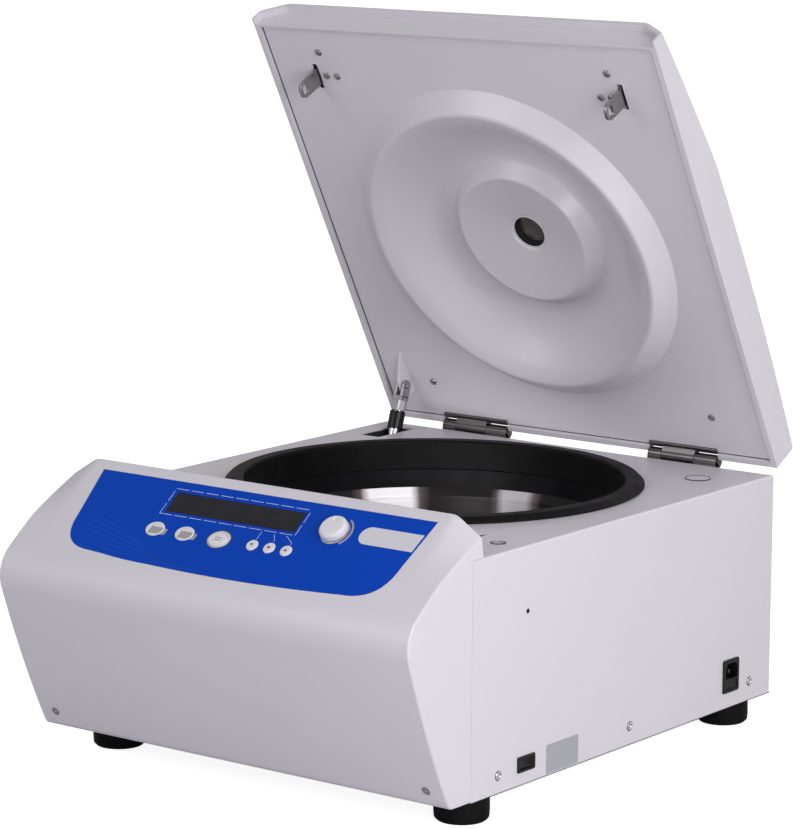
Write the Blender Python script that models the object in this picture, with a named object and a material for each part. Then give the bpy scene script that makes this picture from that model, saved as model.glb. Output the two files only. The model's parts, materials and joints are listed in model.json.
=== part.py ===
# Clinical centrifuge: a bench instrument with a hinged lid, a swing-out rotor and a sloping control face.
# Sizes are in metres and angles in degrees. The control face looks along -Y and the feet stand on z = 0.

import bpy
import bmesh
from math import atan2, cos, degrees, hypot, pi, radians, sin, sqrt, tan
from mathutils import Matrix, Vector

# Shared sizes
clearance = 0.0003
overrun = 0.004

# Case, feet and base plate
case_middle_y = 0.0255
case_side_margin = 0.035
case_front_margin = 0.0587
case_rear_margin = 0.0313
case_sheet = 0.0015
case_edge_radius = 0.005
foot_height = 0.027
foot_radius = 0.0245
foot_side_inset = 0.034
foot_front_inset = 0.033
foot_rear_inset = 0.030
foot_top_radius = 0.0215
foot_lip = 0.003
foot_well_radius = 0.008
foot_well_depth = 0.012
tray_sheet = 0.0015
tray_lip = 0.012
vent_width = 0.003
vent_length = 0.050
vent_pitch = 0.008
vent_count = 9
rear_vent_drop = 0.110

# Chamber: gasket, guard ring, bowl and guard barrel
swing_gap = 0.027
gasket_step = 0.005
gasket_width = 0.018
gasket_lap = 0.013
gasket_rise = 0.0062
gasket_skirt = 0.022
gasket_round = 0.0022
gasket_toe = 0.0015
gasket_lean = 0.0045
guard_ring_height = 0.029
guard_ring_wall = 0.0022
guard_ring_foot = 0.0018
bowl_wall = 0.0015
bowl_corner_radius = 0.024
bowl_collar_radius = 0.030
bowl_collar_height = 0.008
bucket_floor_gap = 0.012
rotor_headroom = 0.0392
barrel_stand = 0.0075
barrel_wall = 0.003
barrel_ledge = 0.006
barrel_ledge_wall = 0.003

# Drive: mount plate, dampers, motor, spindle and seal
drive_space = 0.057
mount_plate = 0.004
mount_arm_reach = 0.032
mount_arm_round = 0.018
motor_radius = 0.052
motor_flange_width = 0.008
motor_flange = 0.004
motor_floor_gap = 0.007
motor_roof_gap = 0.006
motor_nose = 0.018
motor_cap_radius = 0.020
motor_cap_height = 0.005
damper_radius = 0.014
damper_waist_radius = 0.010
damper_cap = 0.004
spindle_radius = 0.007
spindle_shoulder_radius = 0.010
seal_wall = 0.003
seal_height = 0.007

# Rotor head, nut and swing-out buckets
rotor_rim = 0.017
rotor_plate = 0.014
rotor_hub_radius = 0.026
rotor_hub_rise = 0.010
bucket_orbit = 0.095
bucket_ear = 0.0047
pocket_gap = 0.0075
lightening_radius = 0.016
lightening_inset = 0.034
bucket_count = 4
trunnion_radius = 0.004
trunnion_length = 0.0036
nut_radius = 0.013
nut_height = 0.012
nut_cone_share = 0.7
bucket_radius = 0.0215
bucket_wall = 0.002
bucket_drop = 0.050
bucket_rise = 0.012
bucket_round = 0.010
bucket_ear_half_width = 0.0075
bucket_ear_rise = 0.008

# Front cover and its control face
cover_wall = 0.003
cover_lap = 0.0165
cover_ridge_rise = 0.0333
cover_ridge_reach = 0.003
cover_ridge_round = 0.004
cover_ridge_lean = 0.0015
cover_face_angle = 38.0
cover_face_length = 0.1085
cover_belly_angle = 22.6
cover_nose_bulge = 0.0120
cover_nose_height = 0.0435
cover_crown = 0.004
cover_foot_round = 0.006
cover_hip_width = 0.027
cover_hip_drop = 0.0165
cover_hip_start = 0.050
cover_hip_power = 1.3
cover_edge_round = 0.0022
cover_rear_depth = 0.030
face_shares = (0.35, 0.7, 1.0)
hip_shares = (0.35, 0.7)
round_share = 0.3

# Control overlay, display, board, keys and knob
overlay_sheet = 0.0008
overlay_side_inset = 0.0150
overlay_taper = 0.0070
overlay_corner_width = 0.0390
overlay_corner_height = 0.0370
overlay_top = 0.0100
overlay_bottom_inset = 0.0020
overlay_bow = 0.0055
overlay_middle_x = 0.002
window_left = 0.0890
window_right = 0.0570
window_top = 0.0225
window_bottom = 0.0450
window_ledge = 0.003
display_depth = 0.0050
display_border = 0.004
board_side_border = 0.015
board_knob_border = 0.019
board_top_border = 0.0035
board_bottom_border = 0.0098
board_drop = 0.0112
board_sheet = 0.0016
board_post_radius = 0.003
board_post_inset = 0.005
key_window_gap = 0.0212
key_rise = 0.0012
key_travel = 0.0008
key_wide_half = 0.0100
key_wide_half_height = 0.0080
key_small_half = 0.0058
key_centres = (-0.0865, -0.0525, -0.0145, 0.0240, 0.0430, 0.0615)
key_wide_count = 3
key_flange = 0.0010
key_flange_height = 0.0014
key_stem_share = 0.4
key_top_share = 0.86
knob_window_gap = 0.0400
knob_row = 0.0370
knob_radius = 0.0140
knob_height = 0.0125
knob_rise = 0.0010
knob_shaft_radius = 0.003
knob_ring_radius = 0.0162
knob_flute_depth = 0.0006
knob_flute_count = 18
knob_dimple_radius = 0.0038
knob_dimple_depth = 0.0010
knob_dimple_share = 0.58
knob_edge_share = 0.12

# Lid
hinge_reach = 0.00985
hinge_rise = 0.0027
lid_open_angle = 61.5
lid_side_inset = 0.0025
lid_rear = 0.0025
lid_front_gap = 0.00085
lid_nose_depth = 0.0070
lid_rear_height = 0.0335
lid_crown_height = 0.0415
lid_front_height = 0.0310
lid_crown_share = 0.455
lid_hip_share = 0.677
lid_wall = 0.002
lid_lip = 0.0055
lid_lip_height = 0.0035
lid_nose_lip = 0.006
lid_edge_round = 0.0025
lid_notch_height = 0.0125
lid_station_shares = ((0.0, 1.0), (0.006, 0.3), (0.02, 0.0), (0.12, 0.0), (0.28, 0.0), (0.45, 0.0),
                      (0.62, 0.0), (0.74, 0.0), (0.86, 0.0), (0.95, 0.0), (0.993, 0.3), (1.0, 1.0))
lid_hollow_shares = (0.0, 0.25, 0.5, 0.72, 0.87, 1.0)

# Pressed liner of the lid and its sight glass
liner_sheet = 0.0015
dish_setback = 0.0042
dish_foot_gap = 0.0045
dish_ridge_width = 0.0195
dish_crest = 0.0128
dish_bank_share = 0.6
dish_floor_border = 0.014
dish_floor = 0.0232
dish_shares = (0.4, 1.0)
platform_radius = 0.068
platform = 0.0198
sight_radius = 0.0165
sight_rim = 0.0033
sight_rim_height = 0.0016
sight_recess = 0.001
sight_wall = 0.0025

# Latch hooks and lid locks
hook_side_inset = 0.0565
hook_setback = 0.0635
hook_sheet = 0.003
hook_root_half = 0.0088
hook_tip_half = 0.0080
hook_reach = 0.0265
hook_hole_reach = 0.0195
hook_hole_half_length = 0.0055
hook_hole_half_height = 0.0038
hook_flange_width = 0.032
hook_flange_half = 0.022
hook_slot_side_gap = 0.0012
hook_slot_end_gap = 0.0030
latch_slot_side_gap = 0.0013
latch_slot_end_gap = 0.0020
lock_wall = 0.0020
lock_height = 0.034
lock_inner_reach = 0.0235
lock_outer_reach = 0.0145
lock_floor = 0.004
bolt_radius = 0.003
bolt_travel = 0.009
bolt_tip_gap = 0.0020
bolt_tail = 0.020
solenoid_radius = 0.0115
solenoid_gap = 0.0068

# Hinges
hinge_side_inset = 0.1070
hinge_half_width = 0.0385
knuckle_radius = 0.0065
knuckle_low_share = 0.203
knuckle_high_share = 0.678
hinge_pin_radius = 0.0022
case_leaf_sheet = 0.0040
case_leaf_drop = 0.0280
lid_leaf_sheet = 0.0030
lid_leaf_length = 0.032

# Gas strut
strut_side_inset = 0.037
strut_anchor_inset = 0.094
strut_anchor_rise = 0.028
strut_pin_place = 0.0500
strut_pin_drop = 0.0083
strut_slot_reach = 0.0068
strut_slot_rise = 0.0007
strut_slot_radius = 0.0038
strut_cylinder_radius = 0.0075
strut_exposed = 0.1077
strut_cylinder_start = 0.012
strut_eye_radius = 0.0070
strut_eye_half = 0.0030
strut_rod_radius = 0.0042
strut_rod_engaged = 0.020
strut_bore_end = 0.040
strut_sleeve_radius = 0.0080
strut_nut_height = 0.0095
strut_sleeve_length = 0.0135
strut_nut_radius = 0.0078
fork_throat = 0.0055
fork_half_width = 0.0060
fork_tine = 0.0030
fork_slot_half = 0.0024
pin_radius = 0.0025
bracket_sheet = 0.0030
bracket_front = 0.086
bracket_rear = 0.0355
bracket_edge = 0.0060
bracket_flange_width = 0.014
anchor_sheet = 0.003
anchor_half_width = 0.009
anchor_flange = 0.018
strut_slot_length = 0.0575
strut_slot_inset = 0.020
strut_slot_half_width = 0.0130

# Rocker, inlet, fuse drawer, plug and drive board
rocker_inset = 0.0794
rocker_lift = 0.0008
bezel_half_length = 0.0128
bezel_half_height = 0.0071
bezel_proud = 0.0016
bezel_border = 0.0018
bezel_depth = 0.014
rocker_tilt = 9.0
rocker_pivot_depth = 0.003
rocker_crown = 0.0022
rocker_back_share = 0.6
inlet_inset = 0.0714
inlet_lift = 0.0045
inlet_half_width = 0.0133
inlet_half_height = 0.0159
inlet_proud = 0.0018
inlet_border = 0.0022
inlet_depth = 0.022
socket_wall = 0.0006
socket_height = 0.0145
socket_corner = 0.0040
socket_depth = 0.015
socket_pin_recess = 0.0045
socket_pin_half_width = 0.0011
socket_pin_half_height = 0.0022
socket_pin_spread = 0.0060
socket_pin_step = 0.0040
fuse_wall = 0.0011
fuse_height = 0.0068
fuse_border = 0.0013
fuse_depth = 0.014
plug_side_inset = 0.047
plug_rear_inset = 0.060
plug_radius = 0.0120
plug_shank_radius = 0.0105
plug_head = 0.0008
plug_shank = 0.006
drive_board_side_inset = 0.072
drive_board_front_inset = 0.0485
drive_board_width = 0.075
drive_board_depth = 0.060
drive_board_lift = 0.008
heat_sink_height = 0.030
heat_sink_depth = 0.018
fin_gap = 0.004
fin_count = 4

# Counts of facets
chamber_facets = 36
round_facets = 20
small_facets = 12
pin_facets = 8
bucket_facets = 16
arc_steps = 3
nose_steps = 5

# Heights and places that follow from the sizes above
bowl_radius = bucket_orbit + bucket_drop + swing_gap
gasket_inner_radius = bowl_radius + gasket_step
gasket_radius = gasket_inner_radius + gasket_width
top_hole_radius = gasket_radius - gasket_lap
barrel_radius = top_hole_radius + barrel_stand
barrel_inner_radius = barrel_radius - barrel_wall
case_half_width = gasket_radius + case_side_margin
case_depth = case_front_margin + 2 * gasket_radius + case_rear_margin
seam_y = case_middle_y - case_depth / 2
chamber_y = seam_y + case_front_margin + gasket_radius
case_rear_y = seam_y + case_depth
case_bottom_z = foot_height
tray_top_z = case_bottom_z + tray_sheet
bowl_floor_z = case_bottom_z + drive_space
rotor_z = bowl_floor_z + bucket_floor_gap + bucket_drop
guard_ring_bottom_z = rotor_z + rotor_headroom
guard_ring_top_z = guard_ring_bottom_z + guard_ring_height
case_top_z = guard_ring_top_z + clearance + gasket_skirt
plate_under_z = case_top_z - case_sheet
motor_bottom_z = case_bottom_z + motor_floor_gap
motor_top_z = bowl_floor_z - motor_roof_gap
motor_flange_radius = motor_radius + motor_flange_width
mount_z = motor_top_z - motor_nose
mount_arm_radius = motor_flange_radius + mount_arm_reach
rotor_radius = bucket_orbit + rotor_rim
pocket_half_width = bucket_radius + bucket_ear
pocket_inner_radius = bucket_orbit - bucket_radius - pocket_gap
lightening_orbit = rotor_radius - lightening_inset
cover_flat = case_half_width - cover_hip_width
cover_rear_y = seam_y + cover_lap
cover_ridge_y = cover_rear_y - cover_ridge_lean - cover_ridge_reach
overlay_half_top = cover_flat - overlay_side_inset
overlay_half_side = overlay_half_top - overlay_taper
overlay_half_bottom = overlay_half_side - overlay_corner_width
overlay_bottom = cover_face_length - overlay_bottom_inset
overlay_corner_end = overlay_bottom - overlay_bow
overlay_side_end = overlay_corner_end - overlay_corner_height
knob_x = window_right + knob_window_gap
key_row = window_bottom + key_window_gap
board_left = window_left + board_side_border
board_right = knob_x + board_knob_border
board_top = window_top - board_top_border
board_bottom = key_row + key_wide_half_height + board_bottom_border
board_top_n = -board_drop
hinge_y = case_rear_y + hinge_reach
hinge_z = case_top_z + hinge_rise
hinge_x = case_half_width - hinge_side_inset
lid_half_width = case_half_width - lid_side_inset
lid_front = hinge_y - cover_rear_y - lid_front_gap
lid_front_wall = lid_front - lid_nose_depth
liner_low = lid_lip_height + clearance
dish_place = hinge_y - chamber_y - dish_setback
dish_foot_radius = gasket_inner_radius - dish_foot_gap
dish_floor_radius = platform_radius + dish_floor_border
hook_x = case_half_width - hook_side_inset
hook_place = lid_front - hook_setback
hook_slot_half_width = hook_sheet / 2 + hook_slot_side_gap
hook_slot_half_length = hook_root_half + hook_slot_end_gap
latch_slot_half_width = hook_slot_half_width + latch_slot_side_gap
latch_slot_half_length = hook_slot_half_length + latch_slot_end_gap
lock_half_length = latch_slot_half_length + lock_wall
lock_inner_x = hook_x - lock_inner_reach
lock_outer_x = hook_x + lock_outer_reach
bolt_tail_x = lock_inner_x - bolt_tail
hook_y = hinge_y - hook_place
solenoid_y = chamber_y - hook_y - solenoid_radius
solenoid_inner_x = sqrt((barrel_radius + solenoid_gap) ** 2 - solenoid_y ** 2)
strut_x = case_half_width - strut_side_inset
strut_anchor_y = case_rear_y - strut_anchor_inset
strut_anchor_z = case_bottom_z + strut_anchor_rise
strut_nut_top = bracket_edge + fork_tine + fork_throat
strut_sleeve_top = strut_nut_top + strut_nut_height
strut_slot_rear = case_rear_y - strut_slot_inset
strut_slot_front = strut_slot_rear - strut_slot_length
rocker_y = seam_y + rocker_inset
rocker_z = case_bottom_z + tray_lip + rocker_lift + bezel_half_height - bezel_border
inlet_y = case_rear_y - inlet_inset
inlet_z = case_bottom_z + tray_lip + inlet_lift + inlet_half_height - inlet_border
fuse_half_width = inlet_half_width - inlet_border - fuse_wall
socket_half_width = inlet_half_width - inlet_border - socket_wall
plug_x = case_half_width - plug_side_inset
plug_y = case_rear_y - plug_rear_inset
drive_board_x = case_half_width - drive_board_side_inset
drive_board_y = seam_y + drive_board_front_inset

finishes = {
    "white_paint": ((0.80, 0.78, 0.81), 0.42, 0.0),
    "white_moulding": ((0.79, 0.77, 0.80), 0.38, 0.0),
    "key_white": ((0.86, 0.86, 0.87), 0.40, 0.0),
    "overlay_blue": ((0.010, 0.060, 0.420), 0.35, 0.0),
    "window_smoke": ((0.030, 0.030, 0.034), 0.12, 0.0),
    "board_green": ((0.02, 0.16, 0.06), 0.50, 0.0),
    "black_rubber": ((0.012, 0.012, 0.013), 0.75, 0.0),
    "dark_moulding": ((0.030, 0.030, 0.032), 0.55, 0.0),
    "black_plastic": ((0.015, 0.015, 0.017), 0.40, 0.0),
    "stainless": ((0.62, 0.61, 0.60), 0.25, 1.0),
    "steel": ((0.45, 0.44, 0.44), 0.32, 1.0),
    "chrome": ((0.75, 0.75, 0.77), 0.10, 1.0),
    "zinc_sheet": ((0.50, 0.50, 0.51), 0.40, 1.0),
    "aluminium": ((0.70, 0.70, 0.71), 0.35, 1.0),
    "motor_black": ((0.04, 0.04, 0.045), 0.45, 0.3),
    "clear_glass": ((0.70, 0.76, 0.76), 0.05, 0.0),
}


def clear_scene():
    for old in list(bpy.data.objects):
        bpy.data.objects.remove(old, do_unlink=True)


def make_material(name, finish):
    colour, roughness, metallic = finishes[finish]
    material = bpy.data.materials.new(name + "_finish")
    material.use_nodes = True
    shader = material.node_tree.nodes["Principled BSDF"]
    shader.inputs["Base Color"].default_value = (*colour, 1.0)
    shader.inputs["Roughness"].default_value = roughness
    shader.inputs["Metallic"].default_value = metallic
    material.diffuse_color = (*colour, 1.0)
    return material


def add_frame(name, location, tilt=0.0, turn=0.0):
    # An empty that stands on a joint's axis; tilt is about X and turn about Z.
    frame = bpy.data.objects.new(name, None)
    frame.location = location
    frame.rotation_euler = (radians(tilt), 0.0, radians(turn))
    bpy.context.collection.objects.link(frame)
    return frame


def add_mesh(name, solid, frame=None, origin=(0.0, 0.0, 0.0)):
    bmesh.ops.translate(solid, verts=solid.verts, vec=-Vector(origin))
    bmesh.ops.recalc_face_normals(solid, faces=solid.faces)
    mesh = bpy.data.meshes.new(name)
    solid.to_mesh(mesh)
    solid.free()
    obj = bpy.data.objects.new(name, mesh)
    obj.location = origin
    obj.parent = frame
    bpy.context.collection.objects.link(obj)
    return obj


def add_piece(name, solid, finish, frame=None, origin=(0.0, 0.0, 0.0), smooth_angle=35.0):
    obj = add_mesh(name, solid, frame, origin)
    obj.data.materials.append(make_material(name, finish))
    obj.data.shade_smooth()
    obj.data.set_sharp_from_angle(angle=radians(smooth_angle))
    return obj


def merged(solids):
    # Puts separate bodies into one mesh.
    whole = solids[0]
    for solid in solids[1:]:
        spare = bpy.data.meshes.new("spare")
        solid.to_mesh(spare)
        solid.free()
        whole.from_mesh(spare)
        bpy.data.meshes.remove(spare)
    return whole


def combine(piece, solids, operation, solver):
    # A guide object, left out of the part, that is cut from the piece or joined to it.
    name = f"{piece.name}_{operation.lower()}_{len(piece.modifiers)}"
    guide = add_mesh(name, merged(solids), piece.parent)
    guide.hide_render = True
    guide.display_type = "WIRE"
    modifier = piece.modifiers.new(name, "BOOLEAN")
    modifier.operation = operation
    modifier.solver = solver
    modifier.object = guide


def cut(piece, *solids, solver="EXACT"):
    combine(piece, solids, "DIFFERENCE", solver)


def join(piece, *solids):
    combine(piece, solids, "UNION", "EXACT")


def loft(rings):
    # Quads between rings of equal length, with a flat cap at each end.
    solid = bmesh.new()
    rows = [[solid.verts.new(point) for point in ring] for ring in rings]
    count = len(rows[0])
    for row, following in zip(rows, rows[1:]):
        for index in range(count):
            after = (index + 1) % count
            solid.faces.new((row[index], row[after], following[after], following[index]))
    solid.faces.new(rows[0][::-1])
    solid.faces.new(rows[-1])
    return solid


def prism(outline, low, high):
    return loft([[(x, y, low) for x, y in outline], [(x, y, high) for x, y in outline]])


def prism_x(outline, low, high):
    # The outline is given as (y, z) and runs along X.
    return loft([[(low, y, z) for y, z in outline], [(high, y, z) for y, z in outline]])


def prism_y(outline, low, high):
    # The outline is given as (x, z) and runs along Y.
    return loft([[(x, low, z) for x, z in outline], [(x, high, z) for x, z in outline]])


def box(low, high):
    (x0, y0, z0), (x1, y1, z1) = low, high
    return prism([(x0, y0), (x1, y0), (x1, y1), (x0, y1)], z0, z1)


def arc(centre, radius, start, end, steps):
    # Points from the start angle to the end angle, both in degrees.
    points = []
    for step in range(steps + 1):
        angle = radians(start + (end - start) * step / steps)
        points.append((centre[0] + radius * cos(angle), centre[1] + radius * sin(angle)))
    return points


def ellipse(centre, half_width, half_height, facets):
    points = []
    for step in range(facets):
        angle = 2 * pi * step / facets
        points.append((centre[0] + half_width * cos(angle), centre[1] + half_height * sin(angle)))
    return points


def curve_between(start, control, end, steps):
    # A quadratic curve, without its first point.
    points = []
    for step in range(1, steps + 1):
        share = step / steps
        keep = (1 - share) ** 2
        pull = 2 * share * (1 - share)
        points.append(tuple(keep * a + pull * b + share ** 2 * c for a, b, c in zip(start, control, end)))
    return points


def turned(profile, facets, centre=(0.0, 0.0)):
    # A closed outline of (radius, height) points swept round a vertical axis.
    rings = []
    for radius, height in profile:
        ring = ellipse(centre, radius, radius, facets) if radius else [centre]
        rings.append([(x, y, height) for x, y in ring])
    return closed_loop(rings)


def closed_loop(rings):
    # Skins each ring to the next and the last to the first; a ring of one point closes on the axis.
    solid = bmesh.new()
    columns = [[solid.verts.new(point) for point in ring] for ring in rings]
    facets = max(len(column) for column in columns)
    for first, second in zip(columns, columns[1:] + columns[:1]):
        for index in range(facets):
            after = (index + 1) % facets
            corners = [first[index % len(first)], first[after % len(first)],
                       second[after % len(second)], second[index % len(second)]]
            distinct = list(dict.fromkeys(corners))
            if len(distinct) > 2:
                solid.faces.new(distinct)
    return solid


def rod_x(radius, low, high, y, z, facets):
    return prism_x(ellipse((y, z), radius, radius, facets), low, high)


def rod_y(radius, low, high, x, z, facets):
    return prism_y(ellipse((x, z), radius, radius, facets), low, high)


def rod_z(radius, low, high, x, y, facets):
    return prism(ellipse((x, y), radius, radius, facets), low, high)


def bent_case_box(half_width, front, rear, low, high, radius):
    # A box whose top side edges, top rear edge and upright rear edges are rounded.
    solid = box((-half_width, front, low), (half_width, rear, high))
    edges = []
    for edge in solid.edges:
        middle = (edge.verts[0].co + edge.verts[1].co) / 2
        at_side = abs(abs(middle.x) - half_width) < clearance
        at_top = abs(middle.z - high) < clearance
        at_rear = abs(middle.y - rear) < clearance
        if at_side + at_top + at_rear == 2:
            edges.append(edge)
    bmesh.ops.bevel(solid, geom=edges, offset=radius, segments=3, profile=0.5, affect="EDGES")
    return solid


def make_case():
    outer = bent_case_box(case_half_width, seam_y, case_rear_y, case_bottom_z, case_top_z, case_edge_radius)
    case = add_piece("case_shell", outer, "white_paint")
    inner = bent_case_box(case_half_width - case_sheet, seam_y - overrun, case_rear_y - case_sheet,
                          case_bottom_z - overrun, plate_under_z, case_edge_radius - case_sheet)
    cut(case, inner)
    low = plate_under_z - overrun
    high = case_top_z + overrun
    holes = [rod_z(top_hole_radius, low, high, 0, chamber_y, chamber_facets),
             rod_z(plug_shank_radius + clearance, low, high, plug_x, plug_y, round_facets),
             box((-strut_x - strut_slot_half_width, strut_slot_front, low),
                 (-strut_x + strut_slot_half_width, strut_slot_rear, high))]
    for side in (-1, 1):
        holes.append(box((side * hook_x - latch_slot_half_width, hook_y - latch_slot_half_length, low),
                         (side * hook_x + latch_slot_half_width, hook_y + latch_slot_half_length, high)))
    side_in = case_half_width - case_sheet - overrun
    side_out = case_half_width + overrun
    rocker_half_length = bezel_half_length - bezel_border + clearance
    rocker_half_height = bezel_half_height - bezel_border + clearance
    holes.append(box((side_in, rocker_y - rocker_half_length, rocker_z - rocker_half_height),
                     (side_out, rocker_y + rocker_half_length, rocker_z + rocker_half_height)))
    body_half_width = inlet_half_width - inlet_border + clearance
    body_half_height = inlet_half_height - inlet_border + clearance
    holes.append(box((side_in, inlet_y - body_half_width, inlet_z - body_half_height),
                     (side_out, inlet_y + body_half_width, inlet_z + body_half_height)))
    vent_top = case_top_z - rear_vent_drop
    for index in range(vent_count):
        x = (index - (vent_count - 1) / 2) * vent_pitch
        holes.append(box((x - vent_width / 2, case_rear_y - case_sheet - overrun, vent_top - vent_length),
                         (x + vent_width / 2, case_rear_y + overrun, vent_top)))
    cut(case, *holes, solver="MANIFOLD")


def make_base():
    half = case_half_width - case_sheet - clearance
    front = seam_y + clearance
    rear = case_rear_y - case_sheet - clearance
    corner = case_edge_radius
    outline = [(-half, front), (half, front), (half, rear - corner), (half - corner, rear),
               (-half + corner, rear), (-half, rear - corner)]
    tray = add_piece("base_plate", prism(outline, case_bottom_z, tray_top_z), "zinc_sheet")
    lips = []
    lip_low = case_bottom_z + tray_sheet / 2
    for low_x, high_x in ((-half, tray_sheet - half), (half - tray_sheet, half)):
        lips.append(box((low_x, front, lip_low), (high_x, rear - corner, case_bottom_z + tray_lip)))
    join(tray, *lips)
    vents = []
    for index in range(vent_count):
        x = (index - (vent_count - 1) / 2) * vent_pitch
        vents.append(box((x - vent_width / 2, chamber_y - vent_length / 2, case_bottom_z - overrun),
                         (x + vent_width / 2, chamber_y + vent_length / 2, tray_top_z + overrun)))
    cut(tray, *vents)


def make_feet():
    top = case_bottom_z - clearance
    profile = [(foot_well_radius, 0), (foot_radius - foot_lip, 0), (foot_radius, foot_lip),
               (foot_radius, foot_height - foot_lip * 2), (foot_top_radius, top), (0, top),
               (0, foot_well_depth), (foot_well_radius, foot_well_depth)]
    spots = {
        "foot_front_left": (-1, seam_y + foot_front_inset),
        "foot_front_right": (1, seam_y + foot_front_inset),
        "foot_rear_left": (-1, case_rear_y - foot_rear_inset),
        "foot_rear_right": (1, case_rear_y - foot_rear_inset),
    }
    for name, (side, y) in spots.items():
        x = side * (case_half_width - foot_side_inset)
        add_piece(name, turned(profile, round_facets, (x, y)), "black_rubber")


def make_chamber():
    centre = (0, chamber_y)
    skirt_outer = top_hole_radius - clearance
    skirt_low = case_top_z - gasket_skirt
    plate_z = case_top_z + clearance
    gasket_top = case_top_z + gasket_rise
    bead_outer = gasket_radius - gasket_lean
    bead = [(gasket_inner_radius, skirt_low), (skirt_outer, skirt_low), (skirt_outer, plate_z),
            (gasket_radius, plate_z), (gasket_radius, plate_z + gasket_toe),
            (bead_outer, gasket_top - gasket_round), (bead_outer - gasket_round, gasket_top),
            (gasket_inner_radius + gasket_round, gasket_top),
            (gasket_inner_radius, gasket_top - gasket_round)]
    add_piece("chamber_gasket", turned(bead, chamber_facets, centre), "black_rubber")

    low = guard_ring_bottom_z
    ring_outer = barrel_inner_radius - clearance
    ring_wall = gasket_inner_radius + guard_ring_wall
    ring = [(gasket_inner_radius, low), (ring_outer, low), (ring_outer, low + guard_ring_foot),
            (ring_wall, low + guard_ring_foot), (ring_wall, guard_ring_top_z),
            (gasket_inner_radius, guard_ring_top_z)]
    add_piece("guard_ring", turned(ring, chamber_facets, centre), "dark_moulding")

    flange_top = low - clearance
    flange_low = flange_top - bowl_wall
    outer_wall = bowl_radius + bowl_wall
    corner = (bowl_radius - bowl_corner_radius, bowl_floor_z + bowl_corner_radius)
    inside = arc(corner, bowl_corner_radius, 0, -90, arc_steps)
    outside = arc(corner, bowl_corner_radius + bowl_wall, -90, 0, arc_steps)
    collar_top = bowl_floor_z + bowl_collar_height
    collar_inner = bowl_collar_radius - bowl_wall
    bowl = [(ring_outer, flange_low), (ring_outer, flange_top), (bowl_radius, flange_top)]
    bowl += inside
    bowl += [(bowl_collar_radius, bowl_floor_z), (bowl_collar_radius, collar_top),
             (collar_inner, collar_top), (collar_inner, bowl_floor_z - bowl_wall)]
    bowl += outside
    bowl += [(outer_wall, flange_low)]
    add_piece("chamber_bowl", turned(bowl, chamber_facets, centre), "stainless")

    ledge_top = flange_low - clearance
    barrel = [(barrel_inner_radius, tray_top_z + clearance), (barrel_radius, tray_top_z + clearance),
              (barrel_radius, plate_under_z - clearance), (barrel_inner_radius, plate_under_z - clearance),
              (barrel_inner_radius, ledge_top), (barrel_inner_radius - barrel_ledge, ledge_top),
              (barrel_inner_radius - barrel_ledge, ledge_top - barrel_ledge_wall),
              (barrel_inner_radius, ledge_top - barrel_ledge_wall)]
    add_piece("guard_barrel", turned(barrel, chamber_facets, centre), "steel")


def make_drive():
    centre = (0, chamber_y)
    outline = []
    for index in range(3):
        angle = 90 + 120 * index
        tip = (mount_arm_radius * cos(radians(angle)), chamber_y + mount_arm_radius * sin(radians(angle)))
        outline += arc(tip, mount_arm_round, angle - 60, angle + 60, arc_steps)
    plate = add_piece("motor_mount", prism(outline, mount_z, mount_z + mount_plate), "steel")
    cut(plate, rod_z(motor_radius + clearance, mount_z - overrun, mount_z + mount_plate + overrun,
                     *centre, round_facets))

    flange_low = mount_z + mount_plate + clearance
    flange_top = flange_low + motor_flange
    cap_low = motor_top_z - motor_cap_height
    motor = [(0, motor_bottom_z), (motor_radius, motor_bottom_z), (motor_radius, flange_low),
             (motor_flange_radius, flange_low), (motor_flange_radius, flange_top), (motor_radius, flange_top),
             (motor_radius, cap_low), (motor_cap_radius, cap_low), (motor_cap_radius, motor_top_z),
             (0, motor_top_z)]
    add_piece("drive_motor", turned(motor, round_facets, centre), "motor_black")

    low = tray_top_z + clearance
    top = mount_z - clearance
    damper = [(0, low), (damper_radius, low), (damper_radius, low + damper_cap),
              (damper_waist_radius, low + damper_cap * 2), (damper_waist_radius, top - damper_cap * 2),
              (damper_radius, top - damper_cap), (damper_radius, top), (0, top)]
    for index, name in enumerate(("damper_rear", "damper_left", "damper_right")):
        angle = radians(90 + 120 * index)
        spot = (mount_arm_radius * cos(angle), chamber_y + mount_arm_radius * sin(angle))
        add_piece(name, turned(damper, small_facets, spot), "black_rubber")

    spindle_top = rotor_z + rotor_plate / 2 + rotor_hub_rise + nut_height / 2
    seat = rotor_z - rotor_plate / 2 - clearance
    shoulder_low = seat - rotor_hub_rise
    spindle = [(0, motor_top_z + clearance), (spindle_radius, motor_top_z + clearance),
               (spindle_radius, shoulder_low), (spindle_shoulder_radius, shoulder_low),
               (spindle_shoulder_radius, seat), (spindle_radius, seat), (spindle_radius, spindle_top),
               (0, spindle_top)]
    add_piece("spindle", turned(spindle, small_facets, centre), "steel")

    bore = bowl_collar_radius - bowl_wall - clearance
    low = bowl_floor_z - bowl_wall
    high = bowl_floor_z + bowl_collar_height + clearance
    inner = spindle_radius + clearance
    seal = [(bore - seal_wall, low), (bore, low), (bore, high), (bowl_collar_radius, high),
            (bowl_collar_radius, high + seal_wall), (bore - seal_wall, high + seal_wall),
            (inner + seal_wall, high + seal_height), (inner, high + seal_height),
            (inner, high + seal_height - seal_wall), (bore - seal_wall, high)]
    add_piece("spindle_seal", turned(seal, round_facets, centre), "black_rubber")


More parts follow.
